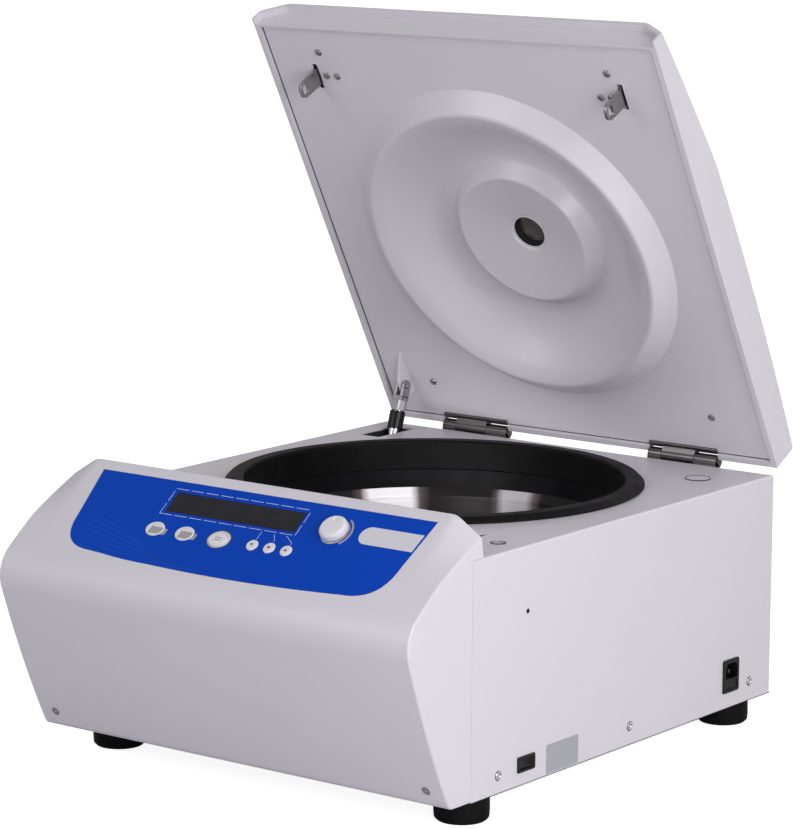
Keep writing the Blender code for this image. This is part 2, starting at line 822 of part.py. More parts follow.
def make_rotor():
    low = rotor_z - rotor_plate / 2
    high = rotor_z + rotor_plate / 2
    origin = (0, chamber_y, rotor_z)
    bore = spindle_radius + clearance
    hub_top = high + rotor_hub_rise
    profile = [(bore, low), (rotor_radius, low), (rotor_radius, high), (rotor_hub_radius, high),
               (rotor_hub_radius - rotor_hub_rise / 2, hub_top), (bore, hub_top)]
    head = add_piece("rotor_head", turned(profile, chamber_facets, origin[:2]), "aluminium", origin=origin)
    voids = []
    pins = []
    for index in range(bucket_count):
        turn = Matrix.Translation((0, chamber_y, 0)) @ Matrix.Rotation(2 * pi * index / bucket_count, 4, "Z")
        pocket = box((pocket_inner_radius, -pocket_half_width, low - overrun),
                     (rotor_radius + overrun, pocket_half_width, high + overrun))
        spread = lightening_orbit * cos(pi / bucket_count)
        hole = rod_z(lightening_radius, low - overrun, high + overrun, spread, spread, small_facets)
        for solid in (pocket, hole):
            solid.transform(turn)
            voids.append(solid)
        for side in (-1, 1):
            root = side * (pocket_half_width + trunnion_length)
            tip = side * (pocket_half_width - trunnion_length)
            pin = rod_y(trunnion_radius, min(root, tip), max(root, tip), bucket_orbit, rotor_z, pin_facets)
            pin.transform(turn)
            pins.append(pin)
    cut(head, *voids)
    join(head, *pins)

    nut_low = hub_top + clearance
    nut_bore_top = rotor_z + rotor_plate / 2 + rotor_hub_rise + nut_height / 2 + clearance
    nut = [(bore, nut_low), (nut_radius, nut_low), (nut_radius, nut_low + nut_height * nut_cone_share),
           (nut_radius * nut_cone_share, nut_low + nut_height), (0, nut_low + nut_height), (0, nut_bore_top),
           (bore, nut_bore_top)]
    add_piece("rotor_nut", turned(nut, small_facets, origin[:2]), "steel", origin=(0, chamber_y, nut_low))


def make_buckets():
    inner = bucket_radius - bucket_wall
    round_z = -bucket_drop + bucket_round
    outer_corner = arc((bucket_radius - bucket_round, round_z), bucket_round, -90, 0, arc_steps)
    inner_round = bucket_round - bucket_wall
    inner_corner = arc((inner - inner_round, round_z), inner_round, 0, -90, arc_steps)
    profile = [(0, -bucket_drop)] + outer_corner + [(bucket_radius, bucket_rise), (inner, bucket_rise)]
    profile += inner_corner + [(0, -bucket_drop + bucket_wall)]
    ear_face = pocket_half_width - clearance * 2
    socket_floor = pocket_half_width - trunnion_length - clearance
    for index, name in enumerate(("bucket_right", "bucket_rear", "bucket_left", "bucket_front")):
        angle = 2 * pi * index / bucket_count
        spot = (bucket_orbit * cos(angle), chamber_y + bucket_orbit * sin(angle), rotor_z)
        frame = add_frame(name + "_axis", spot, turn=degrees(angle))
        bucket = add_piece(name, turned(profile, bucket_facets), "aluminium", frame)
        ears = []
        slots = []
        for side in (-1, 1):
            root = side * (bucket_radius - bucket_wall / 2)
            tip = side * ear_face
            ears.append(box((-bucket_ear_half_width, min(root, tip), -bucket_ear_rise),
                            (bucket_ear_half_width, max(root, tip), bucket_ear_rise)))
            floor = side * socket_floor
            end = side * (ear_face + overrun)
            hole = trunnion_radius + clearance
            slot = arc((0, 0), hole, 0, 180, arc_steps * 2)
            slot += [(-hole, -bucket_ear_rise - overrun), (hole, -bucket_ear_rise - overrun)]
            slots.append(prism_y(slot, min(floor, end), max(floor, end)))
        join(bucket, *ears)
        cut(bucket, *slots)


def cover_outline(hip, inset):
    # The cover's side view as (y, z), from the bottom edge up over the nose to the ridge.
    # Hip is 0 in the middle and 1 at the sides, where the ridge drops away.
    slope = tan(radians(cover_face_angle))
    ridge = (cover_ridge_y, case_top_z + cover_ridge_rise)
    along = cover_face_length * cos(radians(cover_face_angle))
    face_end = (ridge[0] - along, ridge[1] - along * slope)
    nose_end = (face_end[0] - cover_nose_bulge, face_end[1] - cover_nose_height)
    recline = tan(radians(cover_belly_angle))
    meet_z = (ridge[1] + (nose_end[0] + nose_end[1] * recline - ridge[0]) * slope) / (1 + slope * recline)
    meet = (nose_end[0] - (meet_z - nose_end[1]) * recline, meet_z)
    foot = (nose_end[0] + (nose_end[1] - case_bottom_z) * recline, case_bottom_z)
    belly = ((foot[0] + nose_end[0]) / 2 - cover_crown, (foot[1] + nose_end[1]) / 2 - cover_crown * recline)
    start = (foot[0] - cover_foot_round * recline, foot[1] + cover_foot_round)
    points = [(foot[0] + cover_foot_round, foot[1]), start]
    points += curve_between(start, belly, nose_end, arc_steps)
    points += curve_between(nose_end, meet, face_end, nose_steps)
    hip_start = seam_y - cover_hip_start
    for share in face_shares:
        y, z = (a + (b - a) * share for a, b in zip(face_end, ridge))
        fall = max(0.0, (y - hip_start) / (ridge[0] - hip_start)) ** cover_hip_power
        points.append((y, z - hip * cover_hip_drop * fall))
    points = inset_line(points, inset)
    points[0] = (points[0][0], case_bottom_z + inset)
    below, last = points[-2:]
    grade = (last[1] - below[1]) / (last[0] - below[0])
    rear = cover_rear_y - cover_ridge_lean - inset
    turn_y = rear - cover_ridge_reach
    turn_z = last[1] + (turn_y - last[0]) * grade
    points[-1] = (turn_y, turn_z)
    points += curve_between(points[-1], (rear, turn_z + cover_ridge_reach * grade),
                            (rear, turn_z - cover_ridge_round), arc_steps)
    return points


def inset_line(points, inset):
    # Moves an open line of points to its right by the inset.
    moved = []
    for index, (y, z) in enumerate(points):
        before = points[max(index - 1, 0)]
        after = points[min(index + 1, len(points) - 1)]
        along = Vector((after[0] - before[0], after[1] - before[1])).normalized()
        moved.append((y + along.y * inset, z - along.x * inset))
    return moved


def cover_stations(half, edge):
    # Places across the cover with the edge rounding at each.
    right = [(cover_flat, 0.0)]
    for share in hip_shares:
        right.append((cover_flat + (half - edge - cover_flat) * share, 0.0))
    if edge:
        right += [(half - edge, 0.0), (half - edge * round_share, edge * round_share)]
    right.append((half, edge))
    left = [(-x, inset) for x, inset in reversed(right)]
    return left + right


def make_front_cover():
    seam = seam_y - clearance
    plate = case_top_z + clearance
    rings = []
    for x, inset in cover_stations(case_half_width, cover_edge_round):
        hip = max(0.0, (abs(x) - cover_flat) / cover_hip_width)
        line = cover_outline(hip, inset)
        low = case_bottom_z + inset
        rear = cover_rear_y - inset
        line += [(rear, plate), (seam, plate), (seam, low)]
        rings.append([(x, y, z) for y, z in line])
    cover = add_piece("front_cover", loft(rings), "white_moulding", smooth_angle=40.0)

    rings = []
    for x, inset in cover_stations(case_half_width - cover_wall, 0.0):
        hip = max(0.0, (abs(x) - cover_flat) / cover_hip_width)
        line = cover_outline(hip, cover_wall)
        low = case_bottom_z + cover_wall
        rear = cover_rear_y - cover_wall
        deep = seam_y + cover_rear_depth
        under = plate - overrun
        line += [(rear, under), (deep, under), (deep, low)]
        rings.append([(x, y, z) for y, z in line])
    cut(cover, loft(rings))
    return cover


def overlay_outline(spare):
    # The overlay in the control face's own plane; spare widens it all round.
    corner = (overlay_half_side - (overlay_half_top - overlay_half_side) / 4, -overlay_corner_end)
    right = [(overlay_half_top, -overlay_top), (overlay_half_side, -overlay_side_end)]
    right += curve_between(right[-1], corner, (overlay_half_bottom, -overlay_corner_end), 5)
    bottom = curve_between((overlay_half_bottom, -overlay_corner_end),
                           (0, -2 * overlay_bottom + overlay_corner_end),
                           (-overlay_half_bottom, -overlay_corner_end), 8)[:-1]
    left = [(-x, y) for x, y in reversed(right)]
    outline = [(x + overlay_middle_x, y) for x, y in right + bottom + left]
    if not spare:
        return outline
    middle = Vector((overlay_middle_x, -(overlay_top + overlay_bottom) / 2))
    grown = []
    for x, y in outline:
        reach = Vector((x, y)) - middle
        grown.append(tuple(middle + Vector((reach.x + (spare if reach.x > 0 else -spare),
                                            reach.y + (spare if reach.y > 0 else -spare)))))
    return grown


def key_half_sizes(index):
    if index < key_wide_count:
        return key_wide_half, key_wide_half_height
    return key_small_half, key_small_half


def make_control_face(cover):
    ridge = (0, cover_ridge_y, case_top_z + cover_ridge_rise)
    frame = add_frame("control_face", ridge, tilt=cover_face_angle)
    recess = overlay_sheet + clearance
    floor = prism(overlay_outline(clearance), -recess, overrun)
    deep = -cover_wall - overrun
    openings = [box((-window_left + window_ledge, -window_bottom + window_ledge, deep),
                    (window_right - window_ledge, -window_top - window_ledge, 0)),
                rod_z(knob_shaft_radius + clearance, deep, 0, knob_x, -knob_row, small_facets)]
    for index, x in enumerate(key_centres):
        half_width, half_height = key_half_sizes(index)
        openings.append(prism(ellipse((x, -key_row), half_width + clearance, half_height + clearance,
                                      small_facets), deep, 0))
    turn = Matrix.Translation(frame.location) @ Matrix.Rotation(radians(cover_face_angle), 4, "X")
    for solid in [floor] + openings:
        solid.transform(turn)
    cut(cover, floor)
    cut(cover, *openings)

    film = prism(overlay_outline(0), -overlay_sheet, 0)
    overlay = add_piece("control_overlay", film, "overlay_blue", frame)
    through = (-overlay_sheet - overrun, overrun)
    openings = [box((-window_left - clearance, -window_bottom - clearance, through[0]),
                    (window_right + clearance, -window_top + clearance, through[1])),
                rod_z(knob_ring_radius, *through, knob_x, -knob_row, round_facets)]
    for index, x in enumerate(key_centres):
        half_width, half_height = key_half_sizes(index)
        openings.append(prism(ellipse((x, -key_row), half_width + clearance, half_height + clearance,
                                      small_facets), *through))
    cut(overlay, *openings)

    add_piece("display_window", box((-window_left, -window_bottom, -overlay_sheet),
                                    (window_right, -window_top, 0)), "window_smoke", frame)
    module_top = -cover_wall - clearance
    module = add_piece("display_module",
                       box((-window_left, -window_bottom - display_border / 2, module_top - display_depth),
                           (window_right, -window_top + display_border / 2, module_top)),
                       "dark_moulding", frame)
    screen_half = display_border / 2
    cut(module, box((-window_left + display_border, -window_bottom + screen_half, module_top - clearance * 2),
                    (window_right - display_border, -window_top - screen_half, module_top + overrun)))

    board = add_piece("control_board", box((-board_left, -board_bottom, board_top_n - board_sheet),
                                           (board_right, -board_top, board_top_n)), "board_green", frame)
    posts = []
    for x in (-board_left + board_post_inset, board_right - board_post_inset):
        for y in (-board_bottom + board_post_inset, -board_top - board_post_inset):
            posts.append(rod_z(board_post_radius, board_top_n - board_sheet / 2, -cover_wall - clearance,
                               x, y, pin_facets))
    join(board, *posts)
    return frame


def make_keys(frame):
    names = ("key_start", "key_pulse", "key_stop", "key_down", "key_set", "key_up")
    floor = board_top_n + key_travel + clearance
    flange_top = -cover_wall - clearance
    levels = [(key_top_share, key_rise, 0.0), (1.0, key_rise - key_travel, 0.0), (1.0, flange_top, 0.0),
              (1.0, flange_top, key_flange), (1.0, flange_top - key_flange_height, key_flange),
              (key_stem_share, flange_top - key_flange_height, 0.0), (key_stem_share, floor, 0.0)]
    for index, (name, x) in enumerate(zip(names, key_centres)):
        half_width, half_height = key_half_sizes(index)
        rings = []
        for share, height, extra in levels:
            outline = ellipse((x, -key_row), half_width * share + extra, half_height * share + extra,
                              small_facets)
            rings.append([(px, py, height) for px, py in outline])
        add_piece(name, loft(rings), "key_white", frame, origin=(x, -key_row, 0))


def make_knob(frame):
    facets = knob_flute_count * 2
    top = knob_rise + knob_height
    edge = knob_height * knob_edge_share

    def ring(radius, height, flute):
        points = []
        for step in range(facets):
            angle = 2 * pi * step / facets
            reach = radius - (flute if step % 2 else 0)
            points.append((knob_x + reach * cos(angle), -knob_row + reach * sin(angle), height))
        return points

    rings = [ring(knob_shaft_radius, board_top_n + clearance, 0), ring(knob_shaft_radius, knob_rise, 0),
             ring(knob_radius, knob_rise, knob_flute_depth),
             ring(knob_radius - edge / 2, top - edge, knob_flute_depth), ring(knob_radius - edge, top, 0)]
    knob = add_piece("speed_knob", loft(rings), "key_white", frame, origin=(knob_x, -knob_row, 0))
    dimple_y = -knob_row + knob_radius * knob_dimple_share
    cut(knob, rod_z(knob_dimple_radius, top - knob_dimple_depth, top + overrun,
                    knob_x, dimple_y, small_facets))


def lid_top(place, hip):
    # Height of the lid's top over its rim; place runs from the hinge to the front.
    crown = lid_front * lid_crown_share
    if place < crown:
        share = (crown - place) / (crown - lid_rear)
        height = lid_crown_height - (lid_crown_height - lid_rear_height) * share ** 2
    else:
        share = (place - crown) / (lid_front - crown)
        height = lid_crown_height - (lid_crown_height - lid_front_height) * share ** 2
    hip_start = lid_front * lid_hip_share
    fall = max(0.0, (place - hip_start) / (lid_front - hip_start))
    return height - hip * cover_hip_drop * fall


def lid_ring(half_width, place, low, drop, edge):
    # One cross section of the lid at a place, as points going round it.
    crown = lid_top(place, 0.0) - drop
    side = lid_top(place, 1.0) - drop
    shoulder = crown + (side - crown) * (half_width - edge - cover_flat) / cover_hip_width
    rounding = edge * round_share
    right = [(half_width, low), (half_width, side - edge), (half_width - rounding, side - rounding),
             (half_width - edge, shoulder), (cover_flat, crown)]
    left = [(-x, z) for x, z in reversed(right)]
    return [(x, -place, z) for x, z in right + left]


def make_lid():
    frame = add_frame("lid_axis", (0, hinge_y, hinge_z), tilt=-lid_open_angle)
    span = lid_front - lid_rear
    rings = []
    for share, drop_share in lid_station_shares:
        rings.append(lid_ring(lid_half_width, lid_rear + span * share, 0.0, lid_edge_round * drop_share,
                              lid_edge_round))
    lid = add_piece("lid_shell", loft(rings), "white_paint", frame, smooth_angle=30.0)

    rear = lid_rear + lid_wall
    front = lid_front_wall - lid_wall
    rings = []
    for share in lid_hollow_shares:
        rings.append(lid_ring(lid_half_width - lid_wall, rear + (front - rear) * share, lid_lip_height,
                              lid_wall, lid_edge_round))
    cut(lid, loft(rings))
    mouth_half = lid_half_width - lid_lip
    cut(lid, box((-mouth_half, -front, -overrun),
                 (mouth_half, -lid_rear - lid_lip, lid_lip_height + overrun)))

    cut(lid, rod_z(sight_radius, 0, lid_crown_height + overrun, 0, -dish_place, round_facets))

    nose_top = lid_front_height - lid_nose_lip
    recess_half = lid_half_width - lid_wall
    nose_side = nose_top - cover_hip_drop * (recess_half - cover_flat) / cover_hip_width
    recess = [(-recess_half, -overrun), (recess_half, -overrun), (recess_half, nose_side),
              (cover_flat, nose_top), (-cover_flat, nose_top), (-recess_half, nose_side)]
    cut(lid, prism_y(recess, -lid_front - overrun, -lid_front_wall))
    for side in (-1, 1):
        half = hinge_half_width + clearance * 3
        cut(lid, box((side * hinge_x - half, -lid_rear - lid_lip - overrun, -overrun),
                     (side * hinge_x + half, overrun, lid_notch_height)))
    return frame


def liner_edge(ring_of_circle, low_corner, high_corner):
    # Throws each point of a circle out to a rectangle and moves the nearest ones onto its corners.
    x0, y0 = low_corner
    x1, y1 = high_corner
    edge = []
    for x, y in ring_of_circle:
        away = (x, y + dish_place)
        reaches = []
        for along, low, high in ((away[0], x0, x1), (away[1], y0 + dish_place, y1 + dish_place)):
            if along > clearance:
                reaches.append(high / along)
            elif along < -clearance:
                reaches.append(low / along)
        reach = min(reaches)
        edge.append((away[0] * reach, away[1] * reach - dish_place))
    for corner in ((x0, y0), (x0, y1), (x1, y0), (x1, y1)):
        nearest = min(range(len(edge)), key=lambda i: hypot(edge[i][0] - corner[0], edge[i][1] - corner[1]))
        edge[nearest] = corner
    return edge


def make_liner(frame):
    rear = knuckle_radius + clearance
    front = lid_front_wall - lid_wall - clearance
    half = lid_half_width - lid_wall - clearance
    facets = chamber_facets
    centre = (0, -dish_place)
    crest = dish_foot_radius - dish_ridge_width
    bank = crest - dish_ridge_width * dish_bank_share
    bank_drop = dish_crest * (1 - dish_bank_share / 2)
    profile = [(dish_foot_radius, 0), (dish_foot_radius - dish_ridge_width / 2, -bank_drop),
               (crest, -dish_crest), (bank, -bank_drop)]
    for share in dish_shares:
        rise = share * (2 - share)
        height = -bank_drop + (dish_floor + bank_drop) * rise
        profile.append((bank + (dish_floor_radius - bank) * share, height))
    profile += [(platform_radius, platform), (sight_radius, platform)]
    foot = ellipse(centre, dish_foot_radius, dish_foot_radius, facets)
    outer = liner_edge(foot, (-half, -front), (half, -rear))
    under = [[(x, y, liner_low) for x, y in outer]]
    for radius, height in profile:
        under.append([(x, y, liner_low + height) for x, y in ellipse(centre, radius, radius, facets)])
    over = [[(x, y, z + liner_sheet) for x, y, z in ring] for ring in reversed(under)]
    liner = add_piece("lid_liner", closed_loop(under + over), "white_paint", frame, smooth_angle=50.0)
    top = liner_low + liner_sheet
    slots = []
    for side in (-1, 1):
        slots.append(box((side * hook_x - hook_slot_half_width, -hook_place - hook_slot_half_length,
                          liner_low - overrun),
                         (side * hook_x + hook_slot_half_width, -hook_place + hook_slot_half_length,
                          top + overrun)))
    cut(liner, *slots)

    under_z = liner_low + platform - clearance
    rim_z = under_z - sight_rim_height
    glass_top = lid_top(dish_place, 0.0) - sight_recess
    seat = sight_radius - clearance
    rim = sight_radius + sight_rim
    glass = [(0, under_z), (seat - sight_wall, under_z), (seat - sight_wall, rim_z), (rim, rim_z),
             (rim, under_z), (seat, under_z), (seat, glass_top), (0, glass_top)]
    add_piece("sight_glass", turned(glass, round_facets, centre), "clear_glass", frame)


def make_hooks(frame):
    top = liner_low + liner_sheet + clearance
    for side, name in ((-1, "latch_hook_left"), (1, "latch_hook_right")):
        middle = side * hook_x
        tip = -hook_reach
        slope_start = liner_low - hook_root_half / 2
        blade_top = top + hook_sheet
        shoulder = tip + hook_tip_half / 2
        outline = [(-hook_root_half, blade_top), (-hook_root_half, slope_start), (-hook_tip_half, shoulder),
                   (-hook_tip_half / 2, tip), (hook_tip_half / 2, tip), (hook_tip_half, shoulder),
                   (hook_root_half, slope_start), (hook_root_half, blade_top)]
        blade = prism_x([(y - hook_place, z) for y, z in outline],
                        middle - hook_sheet / 2, middle + hook_sheet / 2)
        hook = add_piece(name, blade, "steel", frame)
        inner = middle - side * hook_flange_width
        join(hook, box((min(inner, middle), -hook_place - hook_flange_half, top),
                       (max(inner, middle), -hook_place + hook_flange_half, blade_top)))
        hole_low = -hook_hole_reach - hook_hole_half_height
        hole_high = -hook_hole_reach + hook_hole_half_height
        cut(hook, box((middle - hook_sheet, -hook_place - hook_hole_half_length, hole_low),
                      (middle + hook_sheet, -hook_place + hook_hole_half_length, hole_high)))


def make_locks():
    bolt_z = hinge_z - hook_hole_reach
    top = plate_under_z - clearance
    for side, word in ((-1, "left"), (1, "right")):
        low = top - lock_height
        inner = side * lock_inner_x
        outer = side * lock_outer_x
        frame = add_piece(f"lid_lock_{word}",
                          box((min(inner, outer), hook_y - lock_half_length, low),
                              (max(inner, outer), hook_y + lock_half_length, top)), "dark_moulding")
        coil_ends = sorted((side * solenoid_inner_x, inner + side * lock_floor))
        join(frame, rod_x(solenoid_radius, *coil_ends, hook_y, bolt_z, small_facets))
        slot_low = side * hook_x - latch_slot_half_width
        slot_high = side * hook_x + latch_slot_half_width
        cut(frame, box((slot_low, hook_y - latch_slot_half_length, low + lock_floor),
                       (slot_high, hook_y + latch_slot_half_length, top + overrun)))
        bore_inner = side * (bolt_tail_x - bolt_travel / 2)
        bore_outer = side * (hook_x + latch_slot_half_width + bolt_travel)
        cut(frame, rod_x(bolt_radius + clearance, min(bore_inner, bore_outer), max(bore_inner, bore_outer),
                         hook_y, bolt_z, small_facets))
        tail = side * bolt_tail_x
        tip = side * (hook_x - hook_sheet / 2 - bolt_tip_gap)
        add_piece(f"lock_bolt_{word}", rod_x(bolt_radius, min(tail, tip), max(tail, tip), hook_y, bolt_z,
                                             small_facets), "steel", origin=(tip, hook_y, bolt_z))


def make_hinges(lid_frame):
    leaf_front = case_rear_y + clearance
    for side, word in ((-1, "left"), (1, "right")):
        middle = side * hinge_x
        low = middle - hinge_half_width + 2 * hinge_half_width * knuckle_low_share
        high = middle - hinge_half_width + 2 * hinge_half_width * knuckle_high_share
        ends = [(middle - hinge_half_width, low - clearance), (high + clearance, middle + hinge_half_width)]
        left_end = middle - hinge_half_width
        right_end = middle + hinge_half_width
        plate = box((left_end, leaf_front, hinge_z - case_leaf_drop),
                    (right_end, leaf_front + case_leaf_sheet, hinge_z - knuckle_radius / 2))
        leaf = add_piece(f"hinge_leaf_case_{word}", plate, "steel")
        for start, end in ends:
            knuckle = arc((hinge_y, hinge_z), knuckle_radius, -90, 180, small_facets)
            knuckle += [(leaf_front + case_leaf_sheet / 2, hinge_z),
                        (leaf_front + case_leaf_sheet / 2, hinge_z - knuckle_radius)]
            join(leaf, prism_x(knuckle, start, end))
        join(leaf, rod_x(hinge_pin_radius, left_end + overrun, right_end - overrun,
                         hinge_y, hinge_z, pin_facets))
        cut(leaf, box((low - clearance, leaf_front + case_leaf_sheet / 2, hinge_z - knuckle_radius - overrun),
                      (high + clearance, hinge_y - hinge_pin_radius - clearance * 2, hinge_z)))

        leaf_low = liner_low + liner_sheet + clearance
        leaf_top = leaf_low + lid_leaf_sheet
        root = -knuckle_radius - overrun
        barrel = arc((0, 0), knuckle_radius, 180, 450, small_facets)
        barrel += [(0, leaf_top - clearance), (root, leaf_top - clearance), (root, leaf_low + clearance),
                   (-knuckle_radius, leaf_low + clearance)]
        lid_leaf = add_piece(f"hinge_leaf_lid_{word}", prism_x(barrel, low, high), "steel", lid_frame)
        join(lid_leaf, box((middle - hinge_half_width, -lid_leaf_length, leaf_low),
                           (middle + hinge_half_width, -knuckle_radius - clearance, leaf_top)))
        cut(lid_leaf, rod_x(hinge_pin_radius + clearance, low - overrun, high + overrun, 0, 0, pin_facets),
            solver="MANIFOLD")


def strut_pin():
    # World (y, z) of the pin in the lid's bracket, with the lid open.
    angle = radians(lid_open_angle)
    y = hinge_y - strut_pin_place * cos(angle) - strut_pin_drop * sin(angle)
    z = hinge_z + strut_pin_place * sin(angle) - strut_pin_drop * cos(angle)
    return y, z


def make_strut(lid_frame):
    pin_y, pin_z = strut_pin()
    rise = (pin_y - strut_anchor_y, pin_z - strut_anchor_z)
    length = hypot(*rise)
    lean = degrees(atan2(rise[0], rise[1]))
    frame = add_frame("strut_axis", (-strut_x, strut_anchor_y, strut_anchor_z), tilt=-lean)

    eye = add_piece("strut_cylinder",
                    rod_x(strut_eye_radius, -strut_eye_half, strut_eye_half, 0, 0, small_facets),
                    "black_plastic", frame)
    join(eye, box((-strut_eye_half, -strut_eye_radius / 2, 0),
                  (strut_eye_half, strut_eye_radius / 2, strut_cylinder_start + overrun)))
    cylinder_top = length - strut_exposed
    join(eye, rod_z(strut_cylinder_radius, strut_cylinder_start, cylinder_top, 0, 0, small_facets))
    cut(eye, rod_x(pin_radius + clearance, -strut_eye_half - overrun, strut_eye_half + overrun, 0, 0,
                   pin_facets))
    cut(eye, rod_z(strut_rod_radius + clearance, strut_bore_end, cylinder_top + overrun, 0, 0,
                   small_facets), solver="MANIFOLD")

    rod_low = cylinder_top - strut_rod_engaged
    nut_top = length - strut_nut_top
    sleeve_top = length - strut_sleeve_top
    sleeve_low = sleeve_top - strut_sleeve_length
    rod_top = nut_top - clearance
    add_piece("strut_rod", rod_z(strut_rod_radius, rod_low, rod_top, 0, 0, small_facets), "chrome", frame,
              origin=(0, 0, length))
    inner = strut_rod_radius + clearance
    sleeve_end = sleeve_top - clearance
    sleeve = [(inner, sleeve_low), (strut_sleeve_radius, sleeve_low), (strut_sleeve_radius, sleeve_end),
              (inner, sleeve_end)]
    add_piece("strut_sleeve", turned(sleeve, small_facets), "black_plastic", frame, origin=(0, 0, length))

    fork = add_piece("strut_fork", turned([(0, nut_top), (inner, nut_top), (inner, sleeve_top),
                                           (strut_nut_radius, sleeve_top),
                                           (strut_nut_radius, nut_top + fork_tine),
                                           (0, nut_top + fork_tine)], small_facets),
                     "chrome", frame, origin=(0, 0, length))
    half_depth = fork_slot_half + fork_tine
    for side in (-1, 1):
        near = side * fork_slot_half
        far = side * half_depth
        tine = [(-fork_half_width, nut_top), (fork_half_width, nut_top)]
        tine += arc((0, length), fork_half_width, 0, 180, 6)
        join(fork, prism_x(tine, min(near, far), max(near, far)))
    join(fork, rod_x(pin_radius, -half_depth - fork_tine / 2, half_depth + fork_tine / 2, 0, length,
                     pin_facets))

    low = liner_low - clearance
    slot_end = strut_pin_place - strut_slot_reach
    slot_z = strut_slot_rise - strut_pin_drop
    web = [(-bracket_front, low), (-slot_end + bracket_edge, low)]
    web += arc((-slot_end, slot_z), bracket_edge, 0, -90, arc_steps)
    web += arc((-strut_pin_place, slot_z), bracket_edge, -90, -120, arc_steps)
    bracket = add_piece("strut_bracket",
                        prism_x(web, -strut_x - bracket_sheet / 2, -strut_x + bracket_sheet / 2),
                        "white_paint", lid_frame)
    join(bracket, box((-strut_x - bracket_sheet / 2, -bracket_front, low - bracket_sheet),
                      (-strut_x + bracket_flange_width, -bracket_rear, low)))
    slot = arc((-strut_pin_place, slot_z), strut_slot_radius, 90, 270, arc_steps * 2)
    slot += arc((-slot_end, slot_z), strut_slot_radius, -90, 90, arc_steps * 2)
    cut(bracket, prism_x(slot, -strut_x - overrun, -strut_x + overrun))

    base = tray_top_z + clearance
    plate_x = -strut_x - strut_eye_half - clearance
    anchor = [(strut_anchor_y - anchor_half_width, base), (strut_anchor_y + anchor_half_width, base)]
    anchor += arc((strut_anchor_y, strut_anchor_z), anchor_half_width, 0, 180, 6)
    mount = add_piece("strut_anchor", prism_x(anchor, plate_x - anchor_sheet, plate_x), "steel")
    join(mount, box((plate_x - anchor_sheet, strut_anchor_y - anchor_half_width, base),
                    (plate_x + anchor_flange, strut_anchor_y + anchor_half_width, base + anchor_sheet)))
    join(mount, rod_x(pin_radius, plate_x - anchor_sheet / 2, -strut_x + strut_eye_half + anchor_sheet,
                      strut_anchor_y, strut_anchor_z, pin_facets))


def make_rocker():
    face = case_half_width
    out = face + bezel_proud
    hole_half_length = bezel_half_length - bezel_border
    hole_half_height = bezel_half_height - bezel_border
    bezel = add_piece("rocker_bezel",
                      box((face + clearance, rocker_y - bezel_half_length, rocker_z - bezel_half_height),
                          (out, rocker_y + bezel_half_length, rocker_z + bezel_half_height)), "black_plastic")
    join(bezel, box((face - bezel_depth, rocker_y - hole_half_length, rocker_z - hole_half_height),
                    (face + bezel_proud / 2, rocker_y + hole_half_length, rocker_z + hole_half_height)))
    wall = bezel_border / 2
    well_half_length = hole_half_length - wall
    well_half_height = hole_half_height - wall
    cut(bezel, box((face - bezel_depth + wall, rocker_y - well_half_length, rocker_z - well_half_height),
                   (out + overrun, rocker_y + well_half_length, rocker_z + well_half_height)))

    half_length = well_half_length - clearance * 2
    half_height = well_half_height - clearance * 2
    frame = add_frame("rocker_axis", (face - rocker_pivot_depth, rocker_y, rocker_z), turn=-rocker_tilt)
    outward = rocker_pivot_depth + rocker_crown
    back = -rocker_pivot_depth
    pinch = half_length * rocker_back_share
    outline = [(back, -pinch), (0, -half_length + clearance), (outward, -half_length + clearance)]
    outline += curve_between((outward, -half_length + clearance), (outward - rocker_crown, 0),
                             (outward, half_length - clearance), 6)
    outline += [(0, half_length - clearance), (back, pinch)]
    add_piece("power_rocker", prism(outline, -half_height, half_height), "black_plastic", frame)


def make_inlet():
    face = case_half_width
    out = face + inlet_proud
    body_half_width = inlet_half_width - inlet_border
    body_half_height = inlet_half_height - inlet_border
    top = inlet_z + inlet_half_height
    bottom = inlet_z - inlet_half_height
    inlet = add_piece("mains_inlet", box((face + clearance, inlet_y - inlet_half_width, bottom),
                                         (out, inlet_y + inlet_half_width, top)), "black_plastic")
    join(inlet, box((face - inlet_depth, inlet_y - body_half_width, inlet_z - body_half_height),
                    (face + inlet_proud / 2, inlet_y + body_half_width, inlet_z + body_half_height)))
    socket_top = top - inlet_border - fuse_border
    socket_low = socket_top - socket_height
    outline = [(inlet_y - socket_half_width, socket_low), (inlet_y + socket_half_width, socket_low),
               (inlet_y + socket_half_width, socket_top - socket_corner),
               (inlet_y + socket_half_width - socket_corner, socket_top),
               (inlet_y - socket_half_width + socket_corner, socket_top),
               (inlet_y - socket_half_width, socket_top - socket_corner)]
    cut(inlet, prism_x(outline, out - socket_depth, out + overrun))
    middle_z = (socket_top + socket_low) / 2 - socket_pin_step / 3
    pin_root = out - socket_depth - overrun / 2
    for step in (-1, 0, 1):
        y = inlet_y + step * socket_pin_spread
        z = middle_z + (0 if step else socket_pin_step)
        join(inlet, box((pin_root, y - socket_pin_half_width, z - socket_pin_half_height),
                        (out - socket_pin_recess, y + socket_pin_half_width, z + socket_pin_half_height)))
    drawer_low = bottom + inlet_border
    drawer_top = drawer_low + fuse_height
    cut(inlet, box((out - fuse_depth, inlet_y - fuse_half_width, drawer_low),
                   (out + overrun, inlet_y + fuse_half_width, drawer_top)))
    drawer_half = fuse_half_width - clearance
    drawer = box((out - fuse_depth + clearance, inlet_y - drawer_half, drawer_low + clearance),
                 (out + clearance, inlet_y + drawer_half, drawer_top - clearance))
    add_piece("fuse_drawer", drawer, "dark_moulding", origin=(out, inlet_y, (drawer_low + drawer_top) / 2))


